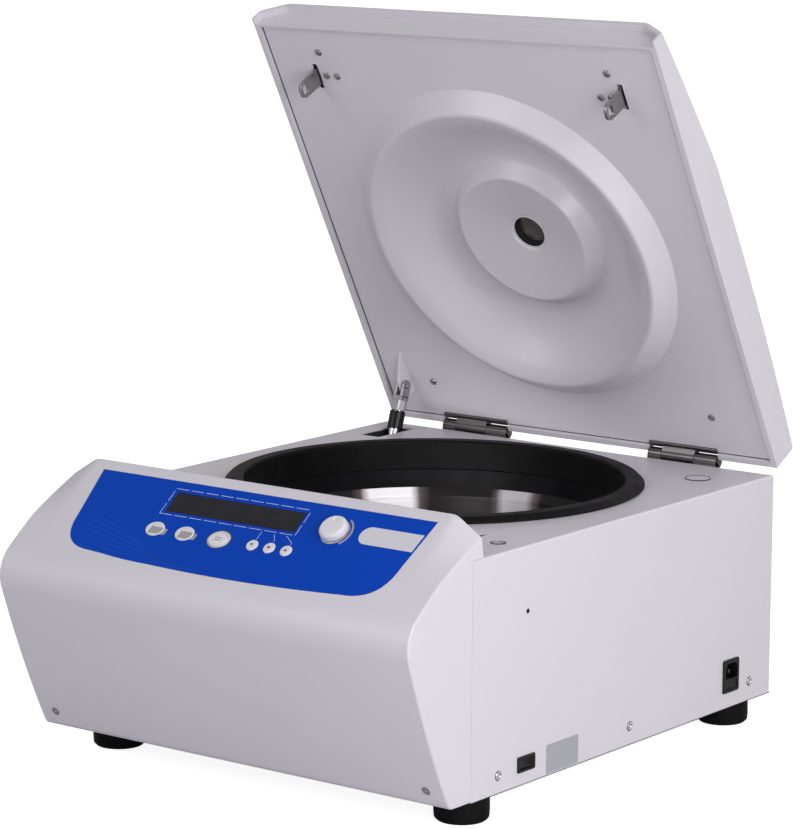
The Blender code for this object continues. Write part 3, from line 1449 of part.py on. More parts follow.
def make_plug():
    seat = case_top_z + clearance
    plug = [(0, case_top_z - plug_shank), (plug_shank_radius, case_top_z - plug_shank),
            (plug_shank_radius, seat), (plug_radius, seat), (plug_radius - plug_head, seat + plug_head),
            (0, seat + plug_head)]
    add_piece("hole_plug", turned(plug, round_facets, (plug_x, plug_y)), "white_moulding")


def make_drive_board():
    low = tray_top_z + clearance
    half_width = drive_board_width / 2
    half_depth = drive_board_depth / 2
    board_low = low + drive_board_lift
    board_high = board_low + board_sheet
    middle = (-drive_board_x, drive_board_y)
    board = add_piece("drive_board", box((middle[0] - half_width, middle[1] - half_depth, board_low),
                                         (middle[0] + half_width, middle[1] + half_depth, board_high)),
                      "board_green")
    for x in (middle[0] - half_width + board_post_inset, middle[0] + half_width - board_post_inset):
        for y in (middle[1] - half_depth + board_post_inset, middle[1] + half_depth - board_post_inset):
            join(board, rod_z(board_post_radius, low, board_low + board_sheet / 2, x, y, pin_facets))
    sink_low = (middle[0] - half_width + heat_sink_depth, middle[1] - half_depth + heat_sink_depth,
                board_low + board_sheet / 2)
    fin = heat_sink_depth / fin_count
    sink_high = (sink_low[0] + fin_count * (fin + fin_gap) - fin_gap, sink_low[1] + heat_sink_depth,
                 board_high + heat_sink_height)
    join(board, box(sink_low, sink_high))
    for index in range(fin_count - 1):
        left = sink_low[0] + fin + index * (fin + fin_gap)
        cut(board, box((left, sink_low[1] - overrun, board_high + fin),
                       (left + fin_gap, sink_high[1] + overrun, sink_high[2] + overrun)))


def build():
    clear_scene()
    make_case()
    make_base()
    make_feet()
    make_chamber()
    make_drive()
    make_rotor()
    make_buckets()
    cover = make_front_cover()
    face = make_control_face(cover)
    make_keys(face)
    make_knob(face)
    lid = make_lid()
    make_liner(lid)
    make_hooks(lid)
    make_locks()
    make_hinges(lid)
    make_strut(lid)
    make_rocker()
    make_inlet()
    make_plug()
    make_drive_board()
    bpy.context.view_layer.update()


build()
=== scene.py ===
import json
from math import atan2, cos, hypot, pi, radians, sin, tan

import bmesh
import bpy
from mathutils import Matrix, Vector


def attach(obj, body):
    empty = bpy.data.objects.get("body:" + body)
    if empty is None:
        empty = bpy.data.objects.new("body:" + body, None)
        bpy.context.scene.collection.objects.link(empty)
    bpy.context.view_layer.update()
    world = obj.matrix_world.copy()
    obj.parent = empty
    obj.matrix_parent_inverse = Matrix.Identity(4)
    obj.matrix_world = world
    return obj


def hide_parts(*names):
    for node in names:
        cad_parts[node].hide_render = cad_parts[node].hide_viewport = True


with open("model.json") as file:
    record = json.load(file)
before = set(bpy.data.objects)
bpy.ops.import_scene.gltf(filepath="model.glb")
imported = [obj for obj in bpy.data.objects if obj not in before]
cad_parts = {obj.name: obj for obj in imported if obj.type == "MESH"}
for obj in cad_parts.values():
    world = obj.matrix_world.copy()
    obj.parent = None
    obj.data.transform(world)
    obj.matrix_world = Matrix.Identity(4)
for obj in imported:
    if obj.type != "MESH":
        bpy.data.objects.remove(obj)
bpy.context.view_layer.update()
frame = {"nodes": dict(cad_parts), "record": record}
nodes = frame["nodes"]
print("frame loaded:", len(nodes), "nodes")

# Lengths are in millimetres until a mesh is made
mm = 0.001
machine = {
    "caseHalf": 230, "seamY": -214.5, "rearY": 265.5, "bottomZ": 27, "topZ": 236.5,
    "chamberY": 39.2, "hingeX": 123, "hingeY": 275.35, "hingeZ": 239.2, "lidAngle": 61.5,
    "faceY": -202.5, "faceZ": 269.8, "faceAngle": 38, "hipFlat": 203, "hipWidth": 27, "hipDrop": 16.5,
    "hookX": 173.5, "hookU": 409,
    "strutX": -193, "strutY": 171.5, "strutZ": 55, "strutLean": 17.967, "strutLength": 235.69,
}
sides = ((-1, "left"), (1, "right"))

cameraSet = {
    "place": (1.9595, -2.5885, 0.8838), "clipEnd": 60, "sensor": 36,
    "right": (0.79484924, 0.60678977, 0.00456652),
    "up": (-0.11032772, 0.13711282, 0.98439213),
    "back": (0.59669295, -0.78294716, 0.17592976),
    "focalPixels": 3598.65, "imageWide": 793, "imageHigh": 829, "middle": (397.72, 416.38),
}


def makeCamera(s):
    data = bpy.data.cameras.new("camera")
    cam = bpy.data.objects.new("camera", data)
    bpy.context.scene.collection.objects.link(cam)
    turn = Matrix([s["right"], s["up"], s["back"]]).transposed().to_4x4()
    cam.matrix_world = Matrix.Translation(s["place"]) @ turn
    data.sensor_fit = "HORIZONTAL"
    data.sensor_width = s["sensor"]
    data.lens = s["sensor"] * s["focalPixels"] / s["imageWide"]
    data.shift_x = (s["imageWide"] / 2 - s["middle"][0]) / s["imageWide"]
    data.shift_y = (s["middle"][1] - s["imageHigh"] / 2) / s["imageWide"]
    data.clip_end = s["clipEnd"]
    bpy.context.scene.camera = cam


makeCamera(cameraSet)


def feed(tree, socket, value):
    # A plain value is set on the socket and anything else is linked to it.
    if isinstance(value, (int, float, tuple)):
        socket.default_value = value
    else:
        tree.links.new(value, socket)


def addNode(tree, kind, feeds=None, **settings):
    node = tree.nodes.new("ShaderNode" + kind)
    for key, value in settings.items():
        setattr(node, key, value)
    for key, value in (feeds or {}).items():
        feed(tree, node.inputs[key], value)
    return node


lightSet = {
    "sky": 0.46, "skyTop": 0.36, "topShare": 0.9, "tint": (1, 0.995, 1.01), "backdrop": 1.05,
    # name: (place, aim, size, spread in degrees, watts, colour)
    "lamps": {
        "rightPanel": ((3.2, -0.9, 1.5), (0, 0, 0.3), 1.9, 180, 47, (1, 0.985, 1)),
        "lowPanel": ((1.25, -1, 0.45), (0.15, 0.15, 0.48), 0.6, 180, 5.2, (1, 0.985, 1.01)),
        "bowlPanel": ((-0.02, -0.09, 0.2), (-0.09, 0.18, 0.185), 0.05, 60, 0.038, (1, 0.98, 1)),
        "backPanel": ((1.3, 3.3, 2), (0, 0.1, 0.3), 2, 180, 14, (1, 0.985, 1)),
        "frontPanel": ((-1.4, -3.2, 1.9), (0, 0, 0.25), 2, 180, 21.5, (0.985, 0.985, 1.05)),
        "topPanel": ((0.3, 0.2, 3.2), (0, 0, 0.2), 2.2, 180, 3.5, (1, 0.99, 1)),
    },
}


def makeLights(s):
    world = bpy.data.worlds.new("softStudio")
    bpy.context.scene.world = world
    world.use_nodes = True
    tree = world.node_tree
    tree.nodes.clear()
    split = addNode(tree, "SeparateXYZ", {0: addNode(tree, "TexCoord").outputs["Generated"]})
    fade = addNode(tree, "ValToRGB", {"Fac": split.outputs["Z"]})
    for index, share, level in ((0, 0, s["sky"]), (1, s["topShare"], s["skyTop"])):
        fade.color_ramp.elements[index].position = share
        fade.color_ramp.elements[index].color = (*(level * tint for tint in s["tint"]), 1)
    # The camera sees plain white behind the object, and the object is lit by the softer sky
    back = addNode(tree, "Background", {"Color": fade.outputs["Color"]})
    white = addNode(tree, "Background", {"Color": (1, 1, 1, 1), "Strength": s["backdrop"]})
    seen = addNode(tree, "LightPath").outputs["Is Camera Ray"]
    choose = addNode(tree, "MixShader", {0: seen, 1: back.outputs[0], 2: white.outputs[0]})
    addNode(tree, "OutputWorld", {0: choose.outputs[0]})
    for name, (place, aim, size, spread, watts, colour) in s["lamps"].items():
        lamp = bpy.data.lights.new(name, "AREA")
        lamp.shape = "DISK"
        lamp.size = size
        lamp.spread = radians(spread)
        lamp.energy = watts
        lamp.color = colour
        obj = bpy.data.objects.new(name, lamp)
        bpy.context.scene.collection.objects.link(obj)
        obj.location = place
        obj.visible_camera = False
        obj.rotation_euler = (Vector(aim) - Vector(place)).to_track_quat("-Z", "Y").to_euler()
    bpy.context.scene.view_settings.view_transform = "Standard"


makeLights(lightSet)
print("camera and lights placed")


def newGroup(name, inputs, outputs):
    # Starts a shader node group and gives it with its inputs, its outputs and the object's coordinates.
    group = bpy.data.node_groups.new(name, "ShaderNodeTree")
    for label, value in inputs.items():
        kind = "Float"
        if isinstance(value, tuple):
            kind = "Color" if len(value) == 4 else "Vector"
        socket = group.interface.new_socket(label, in_out="INPUT", socket_type="NodeSocket" + kind)
        socket.default_value = value
    for label in outputs:
        kind = "Color" if label == "Color" else "Float"
        group.interface.new_socket(label, in_out="OUTPUT", socket_type="NodeSocket" + kind)
    given = group.nodes.new("NodeGroupInput").outputs
    result = group.nodes.new("NodeGroupOutput").inputs
    return group, given, result, addNode(group, "TexCoord").outputs["Object"]


def calc(tree, operation, first, second=0.0, clamp=False):
    return addNode(tree, "Math", {0: first, 1: second}, operation=operation, use_clamp=clamp).outputs[0]


def addShares(tree, start, *shares):
    # Adds each (value, share) to the start.
    for value, share in shares:
        start = calc(tree, "ADD", start, calc(tree, "MULTIPLY", value, share))
    return start


def blend(tree, factor, first, second):
    return addNode(tree, "Mix", {0: factor, 6: first, 7: second}, data_type="RGBA").outputs[2]


def noise(tree, vector, scale, detail=2.0, roughness=0.5):
    feeds = {"Vector": vector, "Scale": scale, "Detail": detail, "Roughness": roughness}
    return addNode(tree, "TexNoise", feeds).outputs["Fac"]


def ramp(tree, factor, low, high):
    feeds = {"Value": factor, "From Min": low, "From Max": high}
    return addNode(tree, "MapRange", feeds, interpolation_type="SMOOTHSTEP").outputs["Result"]


def makeEdgeWear():
    # Rubbed edges: bends sharper than the radius, broken up with noise.
    group, given, result, coords = newGroup("edgeWear", {"Radius": 0.0006, "Amount": 0.5, "Scale": 260},
                                            ["Mask"])
    bend = addNode(group, "Bevel", {"Radius": given["Radius"]}, samples=4).outputs[0]
    plain = addNode(group, "NewGeometry").outputs["Normal"]
    likeness = addNode(group, "VectorMath", {0: bend, 1: plain}, operation="DOT_PRODUCT").outputs["Value"]
    edge = ramp(group, calc(group, "SUBTRACT", 1, likeness, clamp=True), 0.015, 0.2)
    rub = ramp(group, noise(group, coords, given["Scale"], 4, 0.6), 0.35, 0.65)
    mask = calc(group, "MULTIPLY", calc(group, "MULTIPLY", edge, rub), given["Amount"], clamp=True)
    feed(group, result["Mask"], mask)
    return group


def makePaintSkin():
    # Powder coat or moulded skin: orange peel, faint mottling and a slow drift of tone.
    group, given, result, coords = newGroup("paintSkin", {
        "Base": (0.8, 0.8, 0.8, 1), "Drift": (0.75, 0.75, 0.75, 1), "Grain Scale": 900, "Gloss": 0.35,
        "Gloss Spread": 0.08}, ["Color", "Roughness", "Height"])
    broad = ramp(group, noise(group, coords, 5, 3, 0.55), 0.3, 0.7)
    fine = noise(group, coords, given["Grain Scale"])
    middle = noise(group, coords, 70, 3, 0.6)
    speck = ramp(group, fine, 0.3, 0.7)
    share = addShares(group, calc(group, "MULTIPLY", broad, 0.45), (middle, 0.3), (speck, 0.25))
    feed(group, result["Color"], blend(group, share, given["Base"], given["Drift"]))
    spread = calc(group, "MULTIPLY", calc(group, "SUBTRACT", middle, 0.5), given["Gloss Spread"])
    feed(group, result["Roughness"], calc(group, "ADD", spread, given["Gloss"]))
    feed(group, result["Height"], addShares(group, calc(group, "MULTIPLY", fine, 0.7), (middle, 0.3)))
    return group


def makeMouldGrain():
    # Moulded plastic or rubber: a pebbled skin with a bloom of paler patches.
    group, given, result, coords = newGroup("mouldGrain", {
        "Base": (0.02, 0.02, 0.02, 1), "Bloom": (0.05, 0.05, 0.05, 1), "Pebble Scale": 1400, "Gloss": 0.5},
        ["Color", "Roughness", "Height"])
    cells = addNode(group, "TexVoronoi", {"Vector": coords}, feature="SMOOTH_F1")
    feed(group, cells.inputs["Scale"], given["Pebble Scale"])
    patches = ramp(group, noise(group, coords, 38, 4, 0.6), 0.42, 0.75)
    feed(group, result["Color"], blend(group, patches, given["Base"], given["Bloom"]))
    feed(group, result["Roughness"], addShares(group, given["Gloss"], (patches, 0.14)))
    feed(group, result["Height"], cells.outputs["Distance"])
    return group


def makeGrainAndReflectionStreaks():
    # Drawn, turned or ground metal: streaks pulled out along the mapping's short axis, as grain, and on the
    # strut's fork as painted reflection stripes.
    group, given, result, coords = newGroup("brushedGrain", {
        "Base": (0.6, 0.6, 0.6, 1), "Streak": (0.5, 0.5, 0.5, 1), "Stretch": (40, 1500, 1500), "Gloss": 0.25},
        ["Color", "Roughness", "Height"])
    drawn = addNode(group, "VectorMath", {0: coords, 1: given["Stretch"]}, operation="MULTIPLY")
    streak = noise(group, drawn.outputs[0], 1, 3, 0.6)
    cloud = noise(group, coords, 30, 3, 0.6)
    feed(group, result["Color"], blend(group, streak, given["Base"], given["Streak"]))
    feed(group, result["Roughness"], addShares(group, given["Gloss"], (streak, 0.12), (cloud, 0.08)))
    feed(group, result["Height"], streak)
    return group


def makeDustFilm():
    # Dust that settles in patches on what faces up.
    group, given, result, coords = newGroup("dustFilm", {"Amount": 0.1, "Scale": 60}, ["Mask"])
    split = addNode(group, "SeparateXYZ", {0: addNode(group, "NewGeometry").outputs["Normal"]})
    up = ramp(group, split.outputs["Z"], 0.2, 1)
    patch = ramp(group, noise(group, coords, given["Scale"], 5, 0.65), 0.35, 0.8)
    mask = calc(group, "MULTIPLY", calc(group, "MULTIPLY", up, patch), given["Amount"], clamp=True)
    feed(group, result["Mask"], mask)
    return group


def makePaintedHighlightBand():
    # A band of painted highlight on metal, at one bearing round the piece's own upright axis.
    group, given, result, coords = newGroup("turnedBand", {"Bearing": 2, "Half": 0.15, "Soft": 0.06},
                                            ["Mask"])
    split = addNode(group, "SeparateXYZ", {0: coords}).outputs
    bearing = calc(group, "ARCTAN2", split["Y"], split["X"])
    bearing = addShares(group, bearing, (noise(group, coords, 60), 0.03))
    off = calc(group, "ABSOLUTE", calc(group, "SUBTRACT", bearing, given["Bearing"]))
    spare = calc(group, "SUBTRACT", given["Half"], off)
    feed(group, result["Mask"], calc(group, "DIVIDE", spare, given["Soft"], clamp=True))
    return group


edgeWear = makeEdgeWear()
paintSkin = makePaintSkin()
mouldGrain = makeMouldGrain()
brushedGrain = makeGrainAndReflectionStreaks()
dustFilm = makeDustFilm()
turnedBand = makePaintedHighlightBand()


def placeGroup(tree, group, values):
    node = addNode(tree, "Group", node_tree=group)
    for key, value in values.items():
        if isinstance(value, tuple) and key != "Stretch":
            value = (*value, 1)
        node.inputs[key].default_value = value
    return node.outputs


def makeFinish(name, s):
    # s holds the skin group and its values, painted highlight bands, dust, wear, bump, and the shader's own
    # plain values.
    material = bpy.data.materials.new(name)
    material.use_nodes = True
    tree = material.node_tree
    shader = tree.nodes["Principled BSDF"]
    for key, value in s.get("shader", {}).items():
        shader.inputs[key].default_value = value
    skin = placeGroup(tree, s["skin"], s["values"])
    colour, rough = skin["Color"], skin["Roughness"]
    # Each painted highlight band lightens the colour at one bearing
    for bearing, half, soft, tone in s.get("bands", ()):
        mask = placeGroup(tree, turnedBand, {"Bearing": bearing, "Half": half, "Soft": soft})["Mask"]
        colour = blend(tree, mask, colour, (*tone, 1))
    layers = []
    if "dust" in s:
        layers.append((dustFilm, {"Amount": s["dust"]}, dustTone, 0.5))
    if "wear" in s:
        radius, amount, scale, bare, rougher = s["wear"]
        layers.append((edgeWear, {"Radius": radius, "Amount": amount, "Scale": scale}, bare, rougher))
    for group, values, tone, rougher in layers:
        mask = placeGroup(tree, group, values)["Mask"]
        colour = blend(tree, mask, colour, (*tone, 1))
        rough = calc(tree, "ADD", rough, calc(tree, "MULTIPLY", mask, rougher), clamp=True)
    feed(tree, shader.inputs["Base Color"], colour)
    feed(tree, shader.inputs["Roughness"], rough)
    if "bump" in s:
        feeds = {"Strength": s["bump"][0], "Distance": s["bump"][1], "Height": skin["Height"]}
        feed(tree, shader.inputs["Normal"], addNode(tree, "Bump", feeds).outputs[0])
    return material


def paint(base, drift, grain, gloss, spread, **more):
    values = {"Base": base, "Drift": drift, "Grain Scale": grain, "Gloss": gloss, "Gloss Spread": spread}
    return {"skin": paintSkin, "values": values, **more}


def mould(base, bloom, pebble, gloss, **more):
    values = {"Base": base, "Bloom": bloom, "Pebble Scale": pebble, "Gloss": gloss}
    return {"skin": mouldGrain, "values": values, **more}


def metal(base, streak, stretch, gloss, **more):
    values = {"Base": base, "Streak": streak, "Stretch": stretch, "Gloss": gloss}
    shader = {"Metallic": 1, **more.pop("shader", {})}
    return {"skin": brushedGrain, "values": values, "shader": shader, **more}


# wear is (radius, amount, scale, bare colour, change of roughness) and bump is (strength, distance)
# a painted highlight band is (bearing, half width, soft edge, colour), with angles in radians
dustTone = (0.55, 0.54, 0.52)
# The dim painted fringe round a painted highlight band
paintedHighlightFringe = (0.16, 0.125, 0.12)
finishSet = {
    "whitePaint": paint(
        (0.712, 0.678, 0.726), (0.684, 0.652, 0.704), 1100, 0.3, 0.1,
        shader={"Coat Weight": 0.15, "Coat Roughness": 0.2}, dust=0.05,
        wear=(0.0006, 0.25, 300, (0.72, 0.71, 0.72), 0.1), bump=(0.1, 0.0003)),
    "whiteMoulding": paint(
        (0.712, 0.68, 0.732), (0.688, 0.658, 0.712), 1500, 0.4, 0.08, shader={"Coat Weight": 0.06}, dust=0.04,
        wear=(0.0005, 0.2, 260, (0.78, 0.77, 0.8), 0.05), bump=(0.12, 0.0003)),
    "keyWhite": paint(
        (0.78, 0.77, 0.79), (0.73, 0.72, 0.74), 2400, 0.32, 0.1,
        wear=(0.0004, 0.2, 500, (0.66, 0.65, 0.66), 0.1), bump=(0.06, 0.0002)),
    "overlayBlue": paint(
        (0.0008, 0.06, 0.49), (0.0006, 0.0545, 0.46), 2600, 0.42, 0.1, shader={"Specular IOR Level": 0.08},
        wear=(0.0003, 0.2, 500, (0.05, 0.12, 0.5), 0.1), bump=(0.05, 0.0002)),
    "overlayPale": paint(
        (0.009, 0.08, 0.51), (0.007, 0.074, 0.49), 2600, 0.4, 0.1, shader={"Specular IOR Level": 0.08}),
    "windowSmoke": mould(
        (0.022, 0.021, 0.026), (0.03, 0.029, 0.034), 3000, 0.14,
        shader={"Coat Weight": 0.05, "Specular IOR Level": 0.12}),
    "boardGreen": mould((0.015, 0.12, 0.045), (0.03, 0.18, 0.07), 800, 0.35, bump=(0.2, 0.0003)),
    "blackRubber": mould(
        (0.0032, 0.0032, 0.0034), (0.0065, 0.0065, 0.007), 1800, 0.5, shader={"Specular IOR Level": 0.12},
        dust=0.006, wear=(0.0008, 0.35, 200, (0.024, 0.024, 0.025), 0.1), bump=(0.18, 0.0004)),
    "darkMoulding": mould(
        (0.005, 0.005, 0.006), (0.009, 0.009, 0.01), 1500, 0.42, shader={"Specular IOR Level": 0.1},
        wear=(0.0006, 0.3, 220, (0.09, 0.09, 0.09), 0.1), bump=(0.15, 0.0003)),
    "blackPlastic": mould(
        (0.006, 0.006, 0.007), (0.013, 0.013, 0.014), 2200, 0.26, shader={"Specular IOR Level": 0.28},
        wear=(0.0004, 0.3, 300, (0.08, 0.08, 0.08), 0.1), bump=(0.1, 0.0002)),
    "stainless": metal((0.6, 0.585, 0.575), (0.5, 0.49, 0.48), (30, 30, 1600), 0.16, bump=(0.05, 0.0002)),
    # The bowl's steel is painted: a near-black base for steel in the chamber's shade, painted highlight bands
    # at two bearings and a dim painted fringe round each
    "turnedSteel": metal(
        (0.02, 0.018, 0.018), (0.012, 0.011, 0.011), (30, 30, 1600), 0.22,
        shader={"Metallic": 0.1, "Specular IOR Level": 0.15},
        bands=((2.48, 0.23, 0.09, paintedHighlightFringe), (2.48, 0.17, 0.05, (0.99, 0.97, 1)),
               (1.745, 0.16, 0.06, paintedHighlightFringe), (1.755, 0.115, 0.045, (0.52, 0.5, 0.53))),
        bump=(0.05, 0.0002)),
    # The strut fork's chrome carries painted reflection: dark stripes along its length on a bright base
    "strutSteel": metal((0.78, 0.77, 0.79), (0.1, 0.08, 0.08), (700, 700, 24), 0.1),
    "hingeSteel": metal(
        (0.27, 0.25, 0.25), (0.055, 0.045, 0.045), (24, 700, 700), 0.14,
        wear=(0.0005, 0.6, 300, (0.75, 0.74, 0.75), -0.05), bump=(0.06, 0.0002)),
    # The sight glass is clear; this dark tint is painted shade of the hole behind it
    "smokedGlass": mould((0.14, 0.12, 0.12), (0.24, 0.21, 0.21), 600, 0.06),
    "steel": metal(
        (0.48, 0.46, 0.46), (0.24, 0.225, 0.225), (60, 1200, 1200), 0.22,
        wear=(0.0005, 0.5, 300, (0.62, 0.6, 0.6), -0.05), bump=(0.06, 0.0002)),
    "chrome": metal((0.78, 0.78, 0.8), (0.7, 0.7, 0.72), (800, 800, 40), 0.07),
    "zincSheet": metal((0.5, 0.5, 0.51), (0.36, 0.36, 0.38), (90, 110, 100), 0.34, bump=(0.08, 0.0002)),
    "aluminium": metal(
        (0.68, 0.68, 0.69), (0.55, 0.55, 0.56), (120, 120, 2000), 0.28,
        # Two painted highlight bands lighten the aluminium at set bearings
        bands=((0.7, 0.1, 0.09, (0.74, 0.74, 0.75)), (-2.2, 0.1, 0.09, (0.74, 0.74, 0.75))),
        wear=(0.0006, 0.5, 300, (0.82, 0.82, 0.83), -0.05), bump=(0.06, 0.0002)),
    "motorBlack": mould(
        (0.022, 0.022, 0.025), (0.045, 0.045, 0.048), 900, 0.42, shader={"Metallic": 0.3},
        bump=(0.2, 0.0004)),
    "clearGlass": mould(
        (0.66, 0.72, 0.71), (0.6, 0.66, 0.65), 600, 0.04, shader={"Transmission Weight": 0.9, "IOR": 1.47}),
    "labelSilver": metal((0.46, 0.47, 0.51), (0.41, 0.42, 0.46), (1500, 60, 1500), 0.42,
                         shader={"Metallic": 0.25}),
    "printWhite": paint((0.6, 0.66, 0.78), (0.5, 0.57, 0.72), 3000, 0.5, 0.1),
    "plateWhite": paint((0.7, 0.685, 0.72), (0.66, 0.65, 0.69), 2400, 0.4, 0.1),
    "printGrey": paint((0.4, 0.39, 0.4), (0.34, 0.33, 0.35), 3000, 0.45, 0.1),
    "printDark": paint((0.05, 0.045, 0.06), (0.08, 0.075, 0.09), 3000, 0.45, 0.1),
    # Near-black painted shadow, for strips, rings and linings set where gaps and hollows are in shade
    "darkGap": mould((0.012, 0.012, 0.013), (0.02, 0.02, 0.021), 900, 0.7),
}
finishes = {name: makeFinish(name, s) for name, s in finishSet.items()}

# A material slot has its finish's name in words joined by low lines
slotOf = {row["node"]: row["material_slot"] for row in frame["record"]["subparts"]}
for name, node in nodes.items():
    first, *others = slotOf[name].split("_")
    finish = finishes[first + "".join(word.title() for word in others)]
    if not node.data.materials:
        node.data.materials.append(finish)
    for index in range(len(node.data.materials)):
        node.data.materials[index] = finish
print("finishes made:", len(finishes))


def between(start, control, end, steps):
    # Points of a quadratic curve, without its start.
    return [tuple(a * (1 - t) ** 2 + 2 * b * t * (1 - t) + c * t * t for a, b, c in zip(start, control, end))
            for t in (step / steps for step in range(1, steps + 1))]


def quarter(steps):
    # Sine and cosine at even steps of a quarter turn.
    return [(sin(pi / 2 * step / steps), cos(pi / 2 * step / steps)) for step in range(steps + 1)]


def softLine(points, steps=5, closed=True):
    # Rounds each corner (a, b, radius) with an arc; a corner given as (a, b) stays sharp.
    line = []
    for index, point in enumerate(points):
        corner = Vector(point[:2])
        atEnd = not closed and index in (0, len(points) - 1)
        if len(point) < 3 or atEnd:
            line.append(tuple(corner))
            continue
        before = Vector(points[index - 1][:2]) - corner
        after = Vector(points[(index + 1) % len(points)][:2]) - corner
        half = before.angle(after) / 2
        reach = min(point[2] / tan(half), before.length * 0.49, after.length * 0.49)
        bisect = (before.normalized() + after.normalized()).normalized()
        centre = corner + bisect * hypot(reach, reach * tan(half))
        first = corner + before.normalized() * reach - centre
        last = corner + after.normalized() * reach - centre
        start = atan2(first.y, first.x)
        sweep = (atan2(last.y, last.x) - start + pi) % (2 * pi) - pi
        for step in range(steps + 1):
            angle = start + sweep * step / steps
            line.append((centre.x + first.length * cos(angle), centre.y + first.length * sin(angle)))
    return line


def ovalLine(x, y, halfWide, halfHigh, steps=40):
    return [(x + halfWide * cos(2 * pi * i / steps), y + halfHigh * sin(2 * pi * i / steps))
            for i in range(steps)]


def arcLine(x, y, halfWide, halfHigh, degrees):
    return [(x + halfWide * cos(radians(a)), y + halfHigh * sin(radians(a))) for a in degrees]


def hexLine(radius, corner):
    return softLine([(*point, corner) for point in ovalLine(0, 0, radius, radius, 6)], 3)


def boxLine(low, high, corner=0.0):
    corners = [(low[0], low[1]), (high[0], low[1]), (high[0], high[1]), (low[0], high[1])]
    return softLine([(*point, corner) for point in corners]) if corner else corners


def aroundLine(x, y, halfWide, halfHigh, corner=0.0):
    return boxLine((x - halfWide, y - halfHigh), (x + halfWide, y + halfHigh), corner)


def insetLoop(line, inset):
    # Moves a closed line inwards, whichever way it runs.
    area = sum(a[0] * b[1] - b[0] * a[1] for a, b in zip(line, line[1:] + line[:1]))
    side = -1 if area < 0 else 1
    moved = []
    for index, point in enumerate(line):
        here = Vector(point)
        one = (here - Vector(line[index - 1])).normalized()
        two = (Vector(line[(index + 1) % len(line)]) - here).normalized()
        normal = Vector((-one.y, one.x)) * side
        other = Vector((-two.y, two.x)) * side
        bisect = (normal + other).normalized()
        moved.append(tuple(here + bisect * inset / max(0.4, bisect.dot(normal))))
    return moved


def loftShape(rings, closed=False):
    # Quads between rings of points; the ends are capped, or the last ring meets the first.
    shape = bmesh.new()
    rows = [[shape.verts.new(point) for point in ring] for ring in rings]
    for row, following in zip(rows, rows[1:] + rows[:1] if closed else rows[1:]):
        for index in range(len(row)):
            after = (index + 1) % len(row)
            shape.faces.new((row[index], row[after], following[after], following[index]))
    if not closed:
        shape.faces.new(rows[0][::-1])
        shape.faces.new(rows[-1])
    return shape


def slabShape(line, low, high, topEdge=0.0, lowEdge=0.0):
    # A plate with this outline, and a rounded rim above and below where an edge is given.
    levels = [(lowEdge * (1 - far), low + lowEdge * (1 - near)) for far, near in quarter(3)[:-1] if lowEdge]
    levels.append((0, low + lowEdge))
    if high - topEdge > low + lowEdge:
        levels.append((0, high - topEdge))
    levels += [(topEdge * (1 - near), high - topEdge * (1 - far)) for far, near in quarter(3)[1:] if topEdge]
    return loftShape([[(x, y, height) for x, y in (insetLoop(line, inset) if inset else line)]
                      for inset, height in levels])


def turnShape(profile, steps=96, centre=(0, 0)):
    # Turns a closed line of (radius, height) about an upright axis.
    rings = []
    for step in range(steps):
        angle = 2 * pi * step / steps
        rings.append([(centre[0] + r * cos(angle), centre[1] + r * sin(angle), z) for r, z in profile])
    shape = loftShape(rings, closed=True)
    bmesh.ops.remove_doubles(shape, verts=shape.verts, dist=0.0001)
    loose = [edge for edge in shape.edges if not edge.link_faces]
    bmesh.ops.delete(shape, geom=loose, context="EDGES")
    return shape


def blockShape(low, high):
    return loftShape([[(x, y, z) for x, y in boxLine(low[:2], high[:2])] for z in (low[2], high[2])])


def tubeShape(inner, outer, low, high, edge=0.3, steps=48):
    profile = [(inner, low, edge), (outer, low, edge), (outer, high, edge), (inner, high, edge)]
    return turnShape(softLine(profile, 2), steps)


def rodShape(radius, low, high, edge=0.3, steps=32, centre=(0, 0)):
    profile = [(0, low), (radius, low, edge), (radius, high, edge), (0, high)]
    return turnShape(softLine(profile, 2), steps, centre)


def layAlong(shape, axis="x"):
    # Stands a shape that was built along Z on the X or Y axis instead.
    rows = {"x": ((0, 0, 1), (1, 0, 0), (0, 1, 0)), "y": ((1, 0, 0), (0, 0, 1), (0, 1, 0))}[axis]
    shape.transform(Matrix(rows).to_4x4())
    return shape


def sideSlab(*shape):
    return layAlong(slabShape(*shape))


def together(*shapes):
    whole = shapes[0]
    for shape in shapes[1:]:
        spare = bpy.data.meshes.new("spare")
        shape.to_mesh(spare)
        shape.free()
        whole.from_mesh(spare)
        bpy.data.meshes.remove(spare)
    return whole


def place(x, y, z, tilt=0, turn=0):
    # A place in the machine's frame; tilt is about X and turn about Z, in degrees.
    return (Matrix.Translation((x * mm, y * mm, z * mm)) @ Matrix.Rotation(radians(turn), 4, "Z")
            @ Matrix.Rotation(radians(tilt), 4, "X"))


def meshObject(name, shape, at=None):
    bmesh.ops.recalc_face_normals(shape, faces=shape.faces)
    mesh = bpy.data.meshes.new(name)
    shape.to_mesh(mesh)
    shape.free()
    mesh.transform(Matrix.Scale(mm, 4))
    obj = bpy.data.objects.new(name, mesh)
    bpy.context.scene.collection.objects.link(obj)
    if at is not None:
        obj.matrix_world = at
    return obj


def carve(obj, *shapes):
    # Cuts shapes, in the object's own millimetres, out of it and keeps the result as its mesh.
    tool = meshObject("tool", together(*shapes), obj.matrix_world.copy())
    modifier = obj.modifiers.new("carve", "BOOLEAN")
    modifier.operation = "DIFFERENCE"
    modifier.solver = "EXACT"
    modifier.object = tool
    bpy.context.view_layer.update()
    depsgraph = bpy.context.evaluated_depsgraph_get()
    fresh = bpy.data.meshes.new_from_object(obj.evaluated_get(depsgraph), depsgraph=depsgraph)
    obj.modifiers.clear()
    old, obj.data = obj.data, fresh
    toolMesh = tool.data
    bpy.data.objects.remove(tool)
    bpy.data.meshes.remove(toolMesh)
    bpy.data.meshes.remove(old)


